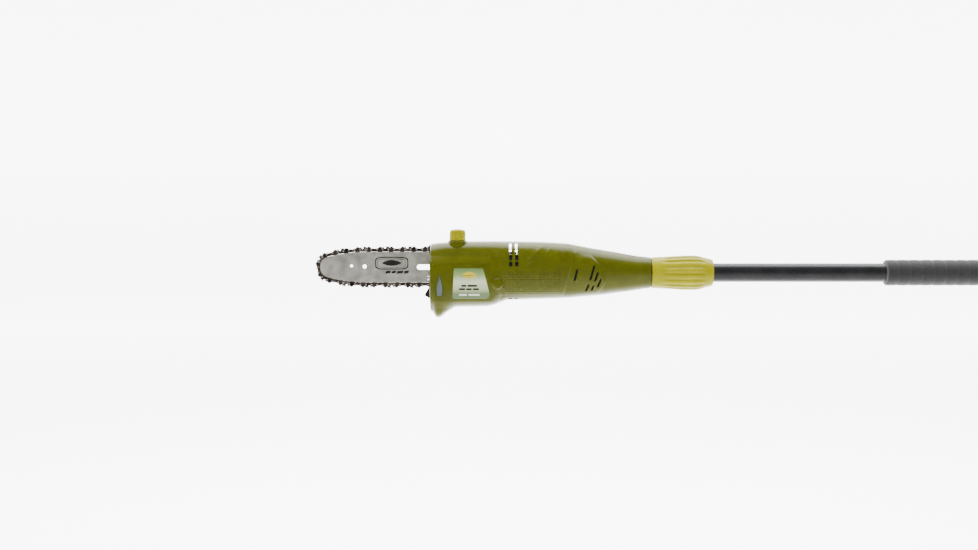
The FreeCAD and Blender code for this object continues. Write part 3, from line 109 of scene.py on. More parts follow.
def spread(tree: bpy.types.NodeTree, value: object, low: float, high: float) -> object:
    """Noise value stretched to a range, for roughness."""
    made = node(tree, "ShaderNodeMapRange")
    made.inputs["From Min"].default_value = 0.3
    made.inputs["From Max"].default_value = 0.7
    made.inputs["To Min"].default_value = low
    made.inputs["To Max"].default_value = high
    link(tree, value, made.inputs["Value"])
    return made.outputs["Result"]


def bump(tree: bpy.types.NodeTree, height: object, strength: float, distance: float) -> object:
    """Normal bent by a height."""
    made = node(tree, "ShaderNodeBump")
    made.inputs["Strength"].default_value = strength
    made.inputs["Distance"].default_value = distance
    link(tree, height, made.inputs["Height"])
    return made.outputs["Normal"]


def blank(name: str) -> tuple[bpy.types.Material, bpy.types.NodeTree, bpy.types.Node]:
    """New material with its tree and shader."""
    material = bpy.data.materials.new(name)
    material.use_nodes = True
    return material, material.node_tree, material.node_tree.nodes["Principled BSDF"]


# ---------------------------------------------------------------- finishes
@dataclass(frozen=True)
class Plastic:
    """Moulded plastic: slight colour flow, orange-peel grain and a thin gloss."""

    name: str
    colour: tuple[float, float, float]
    shade: tuple[float, float, float]
    rough: float = 0.3
    coat: float = 0.25
    grain: Grain = Grain.MOULDED
    specular: float = 0.16

    def build(self) -> bpy.types.Material:
        """Makes the material."""
        material, tree, shader = blank(self.name)
        coords = object_coords(tree)
        flow = noise(tree, coords, 38.0, 2.0)
        link(tree, ramp(tree, flow, [(0.35, self.shade), (0.65, self.colour)]), shader.inputs["Base Color"])
        scale, strength = self.grain.value
        fine = noise(tree, coords, scale, 2.0)
        link(tree, spread(tree, fine, self.rough - 0.04, self.rough + 0.06), shader.inputs["Roughness"])
        link(tree, bump(tree, fine, strength, 0.0004), shader.inputs["Normal"])
        shader.inputs["Specular IOR Level"].default_value = self.specular
        shader.inputs["Coat Weight"].default_value = self.coat
        shader.inputs["Coat Roughness"].default_value = 0.12
        return material


@dataclass(frozen=True)
class Metal:
    """Machined or drawn metal with fine lines along one direction and stains."""

    name: str
    colour: tuple[float, float, float]
    stain: tuple[float, float, float]
    rough: float = 0.3
    lines: tuple[float, float, float] = (40.0, 900.0, 2600.0)
    metallic: float = 1.0

    def build(self) -> bpy.types.Material:
        """Makes the material."""
        material, tree, shader = blank(self.name)
        coords = object_coords(tree)
        mapping = node(tree, "ShaderNodeMapping")
        mapping.inputs["Scale"].default_value = self.lines
        link(tree, coords, mapping.inputs["Vector"])
        fine = noise(tree, mapping.outputs["Vector"], 1.0, 4.0)
        cloud = noise(tree, coords, 60.0, 4.0)
        link(tree, ramp(tree, cloud, [(0.3, self.stain), (0.62, self.colour)]), shader.inputs["Base Color"])
        link(tree, spread(tree, fine, self.rough - 0.08, self.rough + 0.12), shader.inputs["Roughness"])
        link(tree, bump(tree, fine, 0.12, 0.0002), shader.inputs["Normal"])
        shader.inputs["Metallic"].default_value = self.metallic
        return material


@dataclass(frozen=True)
class Foam:
    """Closed-cell foam: small open pores and a dusty sheen."""

    name: str
    colour: tuple[float, float, float]
    pore: tuple[float, float, float]

    def build(self) -> bpy.types.Material:
        """Makes the material."""
        material, tree, shader = blank(self.name)
        coords = object_coords(tree)
        cells = node(tree, "ShaderNodeTexVoronoi")
        cells.inputs["Scale"].default_value = 900.0
        link(tree, coords, cells.inputs["Vector"])
        link(tree, ramp(tree, cells.outputs["Distance"], [(0.15, self.pore), (0.5, self.colour)]),
             shader.inputs["Base Color"])
        link(tree, bump(tree, cells.outputs["Distance"], 0.6, 0.0006), shader.inputs["Normal"])
        shader.inputs["Roughness"].default_value = 0.9
        shader.inputs["Sheen Weight"].default_value = 0.25
        return material


@dataclass(frozen=True)
class LabelFilm:
    """Printed film whose colour runs green, white and green from top to bottom."""

    name: str
    top: float
    bottom: float

    def build(self) -> bpy.types.Material:
        """Makes the material."""
        material, tree, shader = blank(self.name)
        coords = object_coords(tree)
        split = node(tree, "ShaderNodeSeparateXYZ")
        link(tree, coords, split.inputs["Vector"])
        height = node(tree, "ShaderNodeMapRange")
        height.inputs["From Min"].default_value = self.bottom
        height.inputs["From Max"].default_value = self.top
        link(tree, split.outputs["Z"], height.inputs["Value"])
        stops = [(0.0, (0.06, 0.11, 0.02)), (0.17, (0.08, 0.14, 0.03)), (0.30, (0.40, 0.48, 0.24)),
                 (0.55, (0.62, 0.70, 0.46)), (0.78, (0.24, 0.34, 0.12)), (1.0, (0.10, 0.17, 0.04))]
        base = ramp(tree, height.outputs["Result"], stops)
        fine = noise(tree, coords, 5000.0, 1.0)
        mix = node(tree, "ShaderNodeMix", data_type="RGBA", blend_type="MULTIPLY")
        mix.inputs["Factor"].default_value = 0.10
        link(tree, base, mix.inputs["A"])
        link(tree, ramp(tree, fine, [(0.3, (0.7, 0.7, 0.7)), (0.7, (1.0, 1.0, 1.0))]), mix.inputs["B"])
        link(tree, mix.outputs["Result"], shader.inputs["Base Color"])
        link(tree, bump(tree, fine, 0.05, 0.0001), shader.inputs["Normal"])
        shader.inputs["Roughness"].default_value = 0.28
        shader.inputs["Coat Weight"].default_value = 0.4
        return material


@dataclass(frozen=True)
class Paper:
    """Backdrop paper: matt white whose own glow grows from the front floor to the back wall."""

    name: str
    front_glow: float
    back_glow: float

    def build(self) -> bpy.types.Material:
        """Makes the material."""
        material, tree, shader = blank(self.name)
        coords = object_coords(tree)
        cloud = noise(tree, coords, 0.7, 2.0)
        tone = ramp(tree, cloud, [(0.3, (0.88, 0.88, 0.88)), (0.7, (0.92, 0.92, 0.92))])
        link(tree, tone, shader.inputs["Base Color"])
        split = node(tree, "ShaderNodeSeparateXYZ")
        link(tree, coords, split.inputs["Vector"])
        glow = node(tree, "ShaderNodeMapRange", interpolation_type="SMOOTHSTEP")
        glow.inputs["From Min"].default_value = -0.2
        glow.inputs["From Max"].default_value = 0.6
        glow.inputs["To Min"].default_value = self.front_glow
        glow.inputs["To Max"].default_value = self.back_glow
        link(tree, split.outputs["Y"], glow.inputs["Value"])
        link(tree, glow.outputs["Result"], shader.inputs["Emission Strength"])
        shader.inputs["Emission Color"].default_value = (1.0, 1.0, 1.0, 1.0)
        shader.inputs["Roughness"].default_value = 0.95
        return material


@dataclass(frozen=True)
class Finishes:
    """Every finish of the saw, made once and looked up by name."""

    store: dict[str, bpy.types.Material] = field(default_factory=dict)

    def get(self, name: str) -> bpy.types.Material:
        """Material of that name."""
        return self.store[name]

    def add(self, finish: "Plastic | Metal | Foam | LabelFilm | Paper") -> None:
        """Builds a finish and keeps it."""
        self.store[finish.name] = finish.build()
        log.info("finish %s", finish.name)


def all_finishes() -> Finishes:
    """Builds the saw's finishes.

    Returns:
        The finished materials by name.
    """
    made = Finishes()
    for finish in (
        Plastic("olive", (0.076, 0.082, 0.0035), (0.064, 0.069, 0.0028), 0.24, 0.02),
        # Darker copy of the olive plastic: painted shade for the sprocket bay wall and the oil window surround.
        Plastic("olive_shaded", (0.045, 0.049, 0.004), (0.034, 0.037, 0.003), 0.45, 0.2, Grain.COARSE),
        Plastic("lime", (0.330, 0.305, 0.0010), (0.285, 0.262, 0.0008), 0.26, 0.0),
        Plastic("black", (0.014, 0.014, 0.014), (0.009, 0.009, 0.009), 0.45, 0.05),
        Plastic("soft_black", (0.022, 0.022, 0.022), (0.014, 0.014, 0.014), 0.7, 0.0, Grain.COARSE),
        Plastic("natural", (0.62, 0.62, 0.54), (0.52, 0.52, 0.44), 0.4, 0.0),
        Plastic("smoke_window", (0.10, 0.13, 0.11), (0.07, 0.095, 0.08), 0.12, 0.8, Grain.POLISHED),
        Plastic("ink", (0.014, 0.013, 0.012), (0.009, 0.008, 0.008), 0.45, 0.0, Grain.POLISHED),
        Plastic("ink_white", (0.78, 0.80, 0.72), (0.70, 0.72, 0.64), 0.35, 0.0, Grain.POLISHED),
        Plastic("ink_yellow", (0.62, 0.50, 0.04), (0.52, 0.42, 0.03), 0.3, 0.2, Grain.POLISHED),
        Plastic("ink_green", (0.05, 0.12, 0.03), (0.04, 0.09, 0.02), 0.3, 0.2, Grain.POLISHED),
        Plastic("pole_coat", (0.016, 0.016, 0.017), (0.011, 0.011, 0.012), 0.36, 0.2, Grain.COARSE),
        Metal("bar_steel", (0.60, 0.58, 0.51), (0.36, 0.35, 0.31), 0.40, (60.0, 900.0, 2200.0)),
        Metal("chain_steel", (0.090, 0.070, 0.055), (0.022, 0.017, 0.014), 0.42),
        Metal("cutter_steel", (0.17, 0.145, 0.12), (0.05, 0.042, 0.035), 0.36),
        Metal("bright_steel", (0.62, 0.61, 0.60), (0.48, 0.47, 0.46), 0.28),
        Metal("black_oxide", (0.045, 0.042, 0.04), (0.022, 0.020, 0.019), 0.45),
        Metal("drawn_tube", (0.66, 0.67, 0.68), (0.55, 0.56, 0.57), 0.3, (6.0, 900.0, 900.0)),
        Metal("cast_alloy", (0.48, 0.49, 0.50), (0.36, 0.37, 0.38), 0.5),
        Metal("copper", (0.62, 0.27, 0.11), (0.45, 0.18, 0.07), 0.35),
        Foam("foam", (0.020, 0.020, 0.021), (0.004, 0.004, 0.004)),
        LabelFilm("label", 0.010, -0.041),
        Paper("backdrop", 0.28, 6.0),
    ):
        made.add(finish)
    return made


# ---------------------------------------------------------------- mesh helpers
def surface(name: str, grid: Array, wrap: bool = False, flip: bool = False) -> bpy.types.Object:
    """Mesh object from a grid of points: each cell of the grid is one quad.

    Args:
        name: Name of the piece.
        grid: Points in millimetres, shaped rows x columns x 3.
        wrap: Joins the last column to the first.
        flip: Turns the faces over.

    Returns:
        The new object, at the origin.
    """
    rows, columns = grid.shape[:2]
    index = np.arange(rows * columns).reshape(rows, columns)
    if wrap:
        index = np.concatenate([index, index[:, :1]], axis=1)
    quads = np.stack([index[:-1, :-1], index[:-1, 1:], index[1:, 1:], index[1:, :-1]], axis=-1).reshape(-1, 4)
    if flip:
        quads = quads[:, ::-1]
    return mesh_object(name, grid.reshape(-1, 3), quads)


def mesh_object(name: str, points: Array, quads: Array) -> bpy.types.Object:
    """Object from points in millimetres and faces with the same number of corners each.

    Args:
        name: Name of the piece.
        points: Points, shaped count x 3.
        quads: Corner indices, shaped faces x corners.

    Returns:
        The new object, smooth shaded and at the origin.
    """
    corners = quads.shape[1]
    mesh = bpy.data.meshes.new(name)
    mesh.vertices.add(len(points))
    mesh.vertices.foreach_set("co", (points * MM).astype(np.float32).ravel())
    mesh.loops.add(quads.size)
    mesh.loops.foreach_set("vertex_index", quads.astype(np.int32).ravel())
    mesh.polygons.add(len(quads))
    mesh.polygons.foreach_set("loop_start", np.arange(len(quads), dtype=np.int32) * corners)
    mesh.update(calc_edges=True)
    mesh.validate()
    mesh.shade_smooth()
    made = bpy.data.objects.new(name, mesh)
    bpy.context.scene.collection.objects.link(made)
    return made


def weld(piece: bpy.types.Object, outward: bool = False, distance: float = 1e-5) -> bpy.types.Object:
    """Merges points that lie together, and on a closed shell turns every face outwards."""
    shape = bmesh.new()
    shape.from_mesh(piece.data)
    bmesh.ops.remove_doubles(shape, verts=shape.verts, dist=distance)
    bmesh.ops.dissolve_degenerate(shape, edges=shape.edges, dist=1e-7)
    if outward:
        bmesh.ops.recalc_face_normals(shape, faces=shape.faces)
    shape.to_mesh(piece.data)
    shape.free()
    return piece


def settle(piece: bpy.types.Object, sharp: float = 35.0) -> bpy.types.Object:
    """Applies a piece's modifiers to its mesh and marks edges sharper than an angle in degrees."""
    graph = bpy.context.evaluated_depsgraph_get()
    graph.update()
    mesh = bpy.data.meshes.new_from_object(piece.evaluated_get(graph))
    old = piece.data
    piece.modifiers.clear()
    piece.data = mesh
    bpy.data.meshes.remove(old)
    piece.data.shade_smooth()
    piece.data.set_sharp_from_angle(angle=math.radians(sharp))
    return piece


def thicken(piece: bpy.types.Object, thickness: float) -> bpy.types.Object:
    """Gives an open skin a wall, inwards, of that many millimetres."""
    wall = piece.modifiers.new("wall", "SOLIDIFY")
    wall.thickness = thickness * MM
    wall.offset = -1.0
    return piece


def carve(piece: bpy.types.Object, cutter: bpy.types.Object) -> bpy.types.Object:
    """Cuts another solid out of a piece."""
    cut = piece.modifiers.new("cut", "BOOLEAN")
    cut.operation = "DIFFERENCE"
    cut.solver = "EXACT"
    cut.object = cutter
    return piece


def revolve(name: str, along: Array, radius: Array, axis: str, centre: tuple[float, float, float],
            steps: int = 96) -> bpy.types.Object:
    """Surface of revolution: each (along, radius) pair is carried once round an axis.

    Args:
        name: Name of the piece.
        along: Places along the axis, in millimetres.
        radius: Radius at each place, or rows x steps of radii that vary round the axis.
        axis: "X", "Y" or "Z".
        centre: A point on the axis.
        steps: Points round the axis.

    Returns:
        The new object.
    """
    angle = np.linspace(0.0, 2 * np.pi, steps, endpoint=False)
    radii = radius if radius.ndim == 2 else np.repeat(radius[:, None], steps, axis=1)
    run = np.repeat(along[:, None], steps, axis=1)
    first, second = radii * np.cos(angle), radii * np.sin(angle)
    order = {"X": (run, first, second), "Y": (second, run, first), "Z": (first, second, run)}[axis]
    grid = np.stack(order, axis=-1) + np.asarray(centre)
    return weld(surface(name, grid, wrap=True, flip=True), outward=True)


def extrude_outline(name: str, outline: Array, y0: float, y1: float) -> bpy.types.Object:
    """Prism: an XZ outline carried along Y from y0 to y1, closed by two flat ends."""
    count = len(outline)
    near = np.column_stack([outline[:, 0], np.full(count, y0), outline[:, 1]])
    far = near + np.array([0.0, y1 - y0, 0.0])
    shape = bmesh.new()
    ring_a = [shape.verts.new(p * MM) for p in near]
    ring_b = [shape.verts.new(p * MM) for p in far]
    shape.faces.new(ring_a)
    shape.faces.new(ring_b[::-1])
    for i in range(count):
        j = (i + 1) % count
        shape.faces.new((ring_a[i], ring_b[i], ring_b[j], ring_a[j]))
    bmesh.ops.recalc_face_normals(shape, faces=shape.faces)
    mesh = bpy.data.meshes.new(name)
    shape.to_mesh(mesh)
    shape.free()
    made = bpy.data.objects.new(name, mesh)
    bpy.context.scene.collection.objects.link(made)
    return made


def rounded_outline(corners: Array, radius: float, steps: int = 6) -> Array:
    """Closed outline with its corners rounded: each corner becomes a quadratic curve between
    the two points one radius away from it."""
    before = np.roll(corners, 1, axis=0)
    after = np.roll(corners, -1, axis=0)
    to_before = before - corners
    to_after = after - corners
    len_before = np.linalg.norm(to_before, axis=1, keepdims=True)
    len_after = np.linalg.norm(to_after, axis=1, keepdims=True)
    start = corners + to_before / len_before * np.minimum(radius, 0.45 * len_before)
    end = corners + to_after / len_after * np.minimum(radius, 0.45 * len_after)
    t = np.linspace(0.0, 1.0, steps)[None, :, None]
    curve = (1 - t) ** 2 * start[:, None] + 2 * t * (1 - t) * corners[:, None] + t ** 2 * end[:, None]
    return curve.reshape(-1, 2)


def smooth(value: Array) -> Array:
    """Smooth step from 0 to 1 as the value goes from 0 to 1."""
    t = np.clip(value, 0.0, 1.0)
    return t * t * (3 - 2 * t)


def path_distance(x: Array, z: Array, path: Array) -> Array:
    """Signed distance to an open path of straight runs, positive on the +X side of an
    upward path: the least distance to any run, signed by the nearest run's cross product."""
    best = np.full(x.shape, 1e9)
    sign = np.ones(x.shape)
    for (x0, z0), (x1, z1) in zip(path[:-1], path[1:]):
        dx, dz = x1 - x0, z1 - z0
        t = np.clip(((x - x0) * dx + (z - z0) * dz) / (dx * dx + dz * dz), 0.0, 1.0)
        gap = np.hypot(x - x0 - t * dx, z - z0 - t * dz)
        cross = (x - x0) * dz - (z - z0) * dx
        nearer = gap < best
        best = np.where(nearer, gap, best)
        sign = np.where(nearer, np.sign(cross), sign)
    return best * sign


def inside_distance(x: Array, z: Array, corners: Array) -> Array:
    """Depth inside a convex outline: the least distance to its edges, negative outside."""
    closed = np.vstack([corners, corners[:1]])
    area = np.sum(closed[:-1, 0] * closed[1:, 1] - closed[1:, 0] * closed[:-1, 1])
    turn = 1.0 if area > 0 else -1.0
    depth = np.full(x.shape, 1e9)
    for (x0, z0), (x1, z1) in zip(closed[:-1], closed[1:]):
        dx, dz = x1 - x0, z1 - z0
        away = turn * (dx * (z - z0) - dz * (x - x0)) / math.hypot(dx, dz)
        depth = np.minimum(depth, away)
    return depth


def put(piece: bpy.types.Object, body: str, slot: str, finish: bpy.types.Material,
        *nodes: str) -> bpy.types.Object:
    """Dresses a piece, rides it on its body and hides the CAD nodes it stands for."""
    piece.data.materials.clear()
    piece.data.materials.append(finish)
    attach(piece, body)
    if nodes:
        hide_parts(*nodes)
    log.info("piece %s rides on %s", piece.name, body)
    return piece


# ---------------------------------------------------------------- head form
@dataclass(frozen=True)
class HeadForm:
    """Outside surface of the saw head.

    Each section across the pole is a superellipse whose top, bottom, half width and corner
    power are smooth functions of the distance along the pole; relief is added along -Y.
    """

    tail: float
    front: float
    stations: tuple[tuple[float, float, float, float, float], ...] = (
        # x, top, bottom, half width, power
        (0.0, 26.4, 26.6, 26.4, 2.0),
        (-17.0, 28.2, 28.7, 28.5, 2.0),
        (-37.5, 31.6, 32.0, 32.0, 2.05),
        (-58.0, 35.4, 34.6, 35.6, 2.1),
        (-78.0, 38.8, 37.2, 38.8, 2.2),
        (-99.0, 42.4, 39.2, 41.2, 2.3),
        (-119.0, 46.2, 41.0, 43.0, 2.4),
        (-139.0, 50.0, 42.6, 44.0, 2.5),
        (-175.0, 52.4, 44.0, 44.8, 2.6),
        (-210.0, 53.4, 45.0, 45.0, 2.7),
        (-241.0, 53.7, 46.0, 45.0, 2.8),
        (-252.0, 53.8, 49.5, 45.0, 2.9),
        (-264.0, 53.9, 54.3, 45.0, 3.1),
        (-276.0, 53.9, 56.6, 45.0, 3.2),
        (-300.0, 53.7, 57.0, 45.0, 3.3),
        (-326.0, 52.9, 57.4, 45.0, 3.4),
        (-334.0, 52.5, 60.5, 45.0, 3.4),
        (-346.0, 51.8, 68.6, 45.0, 3.4),
        (-354.0, 51.2, 74.8, 45.0, 3.3),
        (-359.0, 50.8, 76.0, 44.8, 3.2),
        (-363.0, 50.2, 73.0, 44.4, 3.1),
        (-367.0, 49.6, 66.0, 43.6, 3.0),
    )
    band: Array = field(default_factory=lambda: np.array([
        (-366.0, 30.6), (-268.0, 30.6), (-258.0, 12.0), (-246.0, -23.0), (-258.0, -58.0), (-366.0, -58.0)]))
    bevel: float = 12.5
    rise: float = 6.0

    def section(self, x: Array) -> tuple[Array, Array, Array, Array]:
        """Top, bottom, half width and power at each x, by monotone cubic interpolation."""
        table = np.array(self.stations)[::-1]
        return tuple(hermite(x, table[:, 0], table[:, k]) for k in (1, 2, 3, 4))

    def relief(self, x: Array, z: Array) -> Array:
        """Height that the left side stands out at (x, z), in millimetres.

        The tank panel rises over its bevel; the front cover steps down behind the slanted
        joint line; the vent field steps down behind its chevron; creases are soft ridges.
        """
        inside = inside_distance(x, z, self.band)
        open_front = np.where(x < -352.0, inside_distance(np.full(x.shape, -330.0), z, self.band), inside)
        height = self.rise * np.clip(open_front / self.bevel, 0.0, 1.0)
        joint = path_distance(x, z, np.array([(-151.0, -42.0), (-149.0, -34.0), (-137.0, 12.0),
                                              (-130.0, 35.0), (-129.0, 56.0)]))
        height = height + 1.5 * smooth(0.5 - joint / 3.6)
        height = height + 0.8 * np.exp(-(joint / 1.6) ** 2)
        chevron = path_distance(x, z, np.array([(-92.0, -38.0), (-77.0, -14.0), (-87.0, 14.0), (-101.0, 29.0)]))
        reach = smooth((z + 42.0) / 8.0) * smooth((34.0 - z) / 10.0)
        height = height + 1.5 * smooth(0.5 - chevron / 4.5) * reach * smooth((x + 138.0) / 20.0)
        sill = smooth((z + 36.5) / 2.2) * smooth((-148.0 - x) / 6.0) * smooth((x + 262.0) / 8.0)
        height = height + 1.2 * sill
        for path, wide, tall in (
            (((-207.0, 20.0), (-199.0, 30.0), (-182.0, 47.0)), 3.0, 1.1),
            (((-176.0, 33.0), (-170.0, 42.0)), 1.6, 0.7),
            (((-145.0, 34.0), (-142.0, 42.0)), 1.6, 0.6),
        ):
            gap = path_distance(x, z, np.array(path))
            height = height + tall * np.exp(-(gap / wide) ** 2)
        boss = np.hypot(x + 258.0, z + 16.5)
        height = height + 2.2 * smooth((9.5 - boss) / 2.2)
        return height

    def left_y(self, x: Array, z: Array, lift: float = 0.0) -> Array:
        """Y of the left surface at (x, z), pushed out by a lift."""
        top, bottom, width, power = self.section(x)
        middle, half = (top - bottom) / 2, (top + bottom) / 2
        flat = np.clip(1 - np.abs((z - middle) / half) ** power, 0.0, 1.0) ** (1 / power)
        return -(width * flat + self.relief(x, z) * smooth(flat * 2.2 - 0.5) + lift)

    def grid(self, x: Array, start: Array, end: Array, count: int, relief: bool,
             inset: float = 0.0) -> Array:
        """Points of the head between two angles at each x.

        Args:
            x: Places along the pole.
            start: Angle at which each row starts: 90 degrees is the top, 0 is +Y, 180 is -Y.
            end: Angle at which each row ends.
            count: Points in each row.
            relief: Adds the relief of the left side.
            inset: Distance by which every section is drawn in.

        Returns:
            Grid of points, rows x count x 3.
        """
        share = np.linspace(0.0, 1.0, count)
        angle = np.radians(start[:, None] + (end - start)[:, None] * share)
        top, bottom, width, power = (v[:, None] for v in self.section(x))
        cosine, sine = np.cos(angle), np.sin(angle)
        reach = (np.abs(cosine) ** power + np.abs(sine) ** power) ** (-1 / power)
        middle, half = (top - bottom) / 2, (top + bottom) / 2 - inset
        run = np.repeat(x[:, None], count, axis=1)
        y = (width - inset) * reach * cosine
        z = middle + half * reach * sine
        if relief:
            flat = np.clip(-reach * cosine, 0.0, 1.0)
            y = y - self.relief(run, z) * smooth(flat * 2.2 - 0.5)
        return np.stack([run, y, z], axis=-1)


def hermite(x: Array, knots: Array, values: Array) -> Array:
    """Cubic through the knots whose slopes are the harmonic means of the runs either side,
    so that it never overshoots."""
    run = np.diff(values) / np.diff(knots)
    slope = np.zeros(len(knots))
    product = run[:-1] * run[1:]
    total = np.where(np.abs(run[:-1] + run[1:]) < 1e-9, 1.0, run[:-1] + run[1:])
    slope[1:-1] = np.where(product > 0, 2 * product / total, 0.0)
    slope[0], slope[-1] = run[0], run[-1]
    place = np.clip(np.searchsorted(knots, x) - 1, 0, len(knots) - 2)
    gap = knots[place + 1] - knots[place]
    t = np.clip((x - knots[place]) / gap, 0.0, 1.0)
    return ((2 * t ** 3 - 3 * t ** 2 + 1) * values[place] + (t ** 3 - 2 * t ** 2 + t) * gap * slope[place]
            + (-2 * t ** 3 + 3 * t ** 2) * values[place + 1] + (t ** 3 - t ** 2) * gap * slope[place + 1])


# ---------------------------------------------------------------- saw head
@dataclass
class SawHead:
    """Outer shells of the head with their openings, label, window and filler boss."""

    form: HeadForm
    wall: float = 2.6
    bay_wall: float = 16.0
    bay_rear: float = -247.0
    slot_width: float = 4.0
    right_shift: float = 34.0
    screen_lift: float = -5.5
    slots: tuple[tuple[float, float, float, float], ...] = (
        # top x, top z, bottom x, bottom z
        (-125.0, 8.0, -129.7, -11.5),
        (-96.4, 14.0, -103.4, -10.7),
        (-90.3, 3.0, -95.5, -12.7),
        (-85.2, -8.0, -90.8, -23.3),
        (-105.4, -17.2, -110.0, -30.0),
        (-97.6, -19.6, -100.4, -28.8),
    )
    vent_columns: tuple[float, float] = (-236.0, -226.0)
    vent_rows: tuple[tuple[float, float], ...] = ((50.0, 41.3), (40.2, 33.0), (31.2, 22.6), (20.4, 12.7))
    vent_width: float = 5.6
    filler: tuple[float, float] = (-325.0, -20.0)

    def rows(self) -> Array:
        """Places along the pole: close together where the relief is fine, and rounded at the front."""
        fine = np.linspace(self.form.front, -240.0, 118)
        rest = np.linspace(-240.0, -60.0, 150)[1:]
        tail = np.linspace(-60.0, self.form.tail, 34)[1:]
        return np.concatenate([fine, rest, tail])

    def with_ends(self, grid: Array) -> Array:
        """Adds the rounded front edge and front wall, and the turned-in tail rim.

        The front wall is the first row drawn in towards its own middle line, in steps that
        follow a quarter circle at first; the rim is the last row drawn in towards the axis.
        """
        first, last = grid[0], grid[-1]
        middle = np.array([0.0, 0.0, float(first[:, 2].mean())])
        edge = 4.0
        turn = np.linspace(np.pi / 2, 0.0, 6)[:-1]
        rows = []
        flat = [(0.0, 0.0), (0.25, 0.0), (0.5, 0.0), (0.75, 0.0)]
        centre = first * [1, 0, 0] + middle
        arm = first - centre
        length = np.linalg.norm(arm, axis=1, keepdims=True)
        unit = arm / np.maximum(length, 1e-6)
        for share, _ in flat:
            point = centre + unit * np.maximum(length - edge, 0.0) * share
            rows.append(point - [edge, 0, 0])
        for a in turn:
            drawn = np.maximum(length - edge * (1 - math.cos(a)), 0.0)
            rows.append(centre + unit * drawn - [edge * math.sin(a), 0, 0])
        rim = []
        for share in (0.0, 0.5, 1.0):
            radius = np.linalg.norm(last[:, 1:], axis=1, keepdims=True)
            scale = 1.0 - (1.2 * (1 - math.cos(share * math.pi / 2)) + share * 0.0) / radius
            point = last.copy()
            point[:, 1:] *= scale
            point[:, 0] += 1.2 * math.sin(share * math.pi / 2)
            rim.append(point)
        return np.concatenate([np.stack(rows), grid, np.stack(rim[1:])])

    def cutter(self, side: Side) -> bpy.types.Object:
        """One solid made of the prisms of one side's cooling openings.

        The right side's slots lie further back, and it has no vents below.
        """
        reach = 70.0 * side.value
        parts = []
        h = self.slot_width / 2
        shift = 0.0 if side is Side.LEFT else self.right_shift
        for x0, z0, x1, z1 in self.slots:
            x0, x1 = x0 + shift, x1 + shift
            parts.append(np.array([(x0 - h, z0 - 1), (x0 + h, z0 + 0.6), (x1 + h, z1 + 1), (x1 - h, z1 - 0.6)]))
        w = self.vent_width / 2
        rows = self.vent_rows + (((-41.0, -50.0),) if side is Side.LEFT else ())
        for x in self.vent_columns:
            for top, bottom in rows:
                parts.append(np.array([(x - w, top), (x + w, top), (x + w, bottom), (x - w, bottom)]))
        low, high = sorted((0.0, reach))
        prisms = [extrude_outline("opening", rounded_outline(p, 1.2, 4), low, high) for p in parts]
        return join("head_openings", prisms)

    def left(self, finishes: Finishes, cutter: bpy.types.Object) -> None:
        """Left half of the housing."""
        x = self.rows()
        ones = np.ones(len(x))
        grid = self.form.grid(x, 90.0 * ones, 270.0 * ones, 120, True)
        piece = surface("housing_left_shell", self.with_ends(grid))
        weld(piece)
        orient(piece, self.form)
        thicken(piece, self.wall)
        settle(piece)
        carve(piece, cutter)
        settle(piece)
        put(piece, "head", "olive_plastic", finishes.get("olive"), "housing_left")

    def right(self, finishes: Finishes, cutter: bpy.types.Object) -> None:
        """Right half: the whole side behind the sprocket bay, and two strips beside the bay."""
        x = self.rows()
        rear = x[x >= self.bay_rear]
        rear = np.concatenate([[self.bay_rear], rear])
        ones = np.ones(len(rear))
        grid = self.form.grid(rear, 90.0 * ones, -90.0 * ones, 96, False)
        shell = self.with_ends(np.concatenate([grid[:1], grid]))[9:]
        pieces = [surface("rear", shell)]
        front = np.concatenate([x[x < self.bay_rear], [self.bay_rear]])
        top, bottom, width, power = self.form.section(front)
        edge = np.degrees(np.arctan(((width / self.bay_wall) ** power - 1) ** (1 / power)))
        for sign in (1.0, -1.0):
            strip = self.form.grid(front, 90.0 * sign * np.ones(len(front)), edge * sign, 12, False)
            pieces.append(surface("strip", self.with_ends(strip)))
        piece = join("housing_right_shell", pieces)
        weld(piece)
        orient(piece, self.form)
        thicken(piece, self.wall)
        settle(piece)
        carve(piece, cutter)
        settle(piece)
        put(piece, "head", "olive_plastic", finishes.get("olive"), "housing_right")
        plate = np.column_stack([
            np.concatenate([front, front[::-1]]),
            np.concatenate([self.wall_z(front, 1), self.wall_z(front, -1)[::-1]])])
        wall = extrude_outline("bay_wall_plate", plate, self.bay_wall - 2.6, self.bay_wall - 0.1)
        # The bay wall is the olive plastic painted darker: painted shade inside the sprocket bay.
        put(wall, "head", "olive_plastic", finishes.get("olive_shaded"))

    def wall_z(self, x: Array, sign: int) -> Array:
        """Height of the shell's inside at the bay wall."""
        top, bottom, width, power = self.form.section(x)
        share = (1 - (self.bay_wall / width) ** power) ** (1 / power)
        return (top - bottom) / 2 + sign * ((top + bottom) / 2 * share - 1.0)

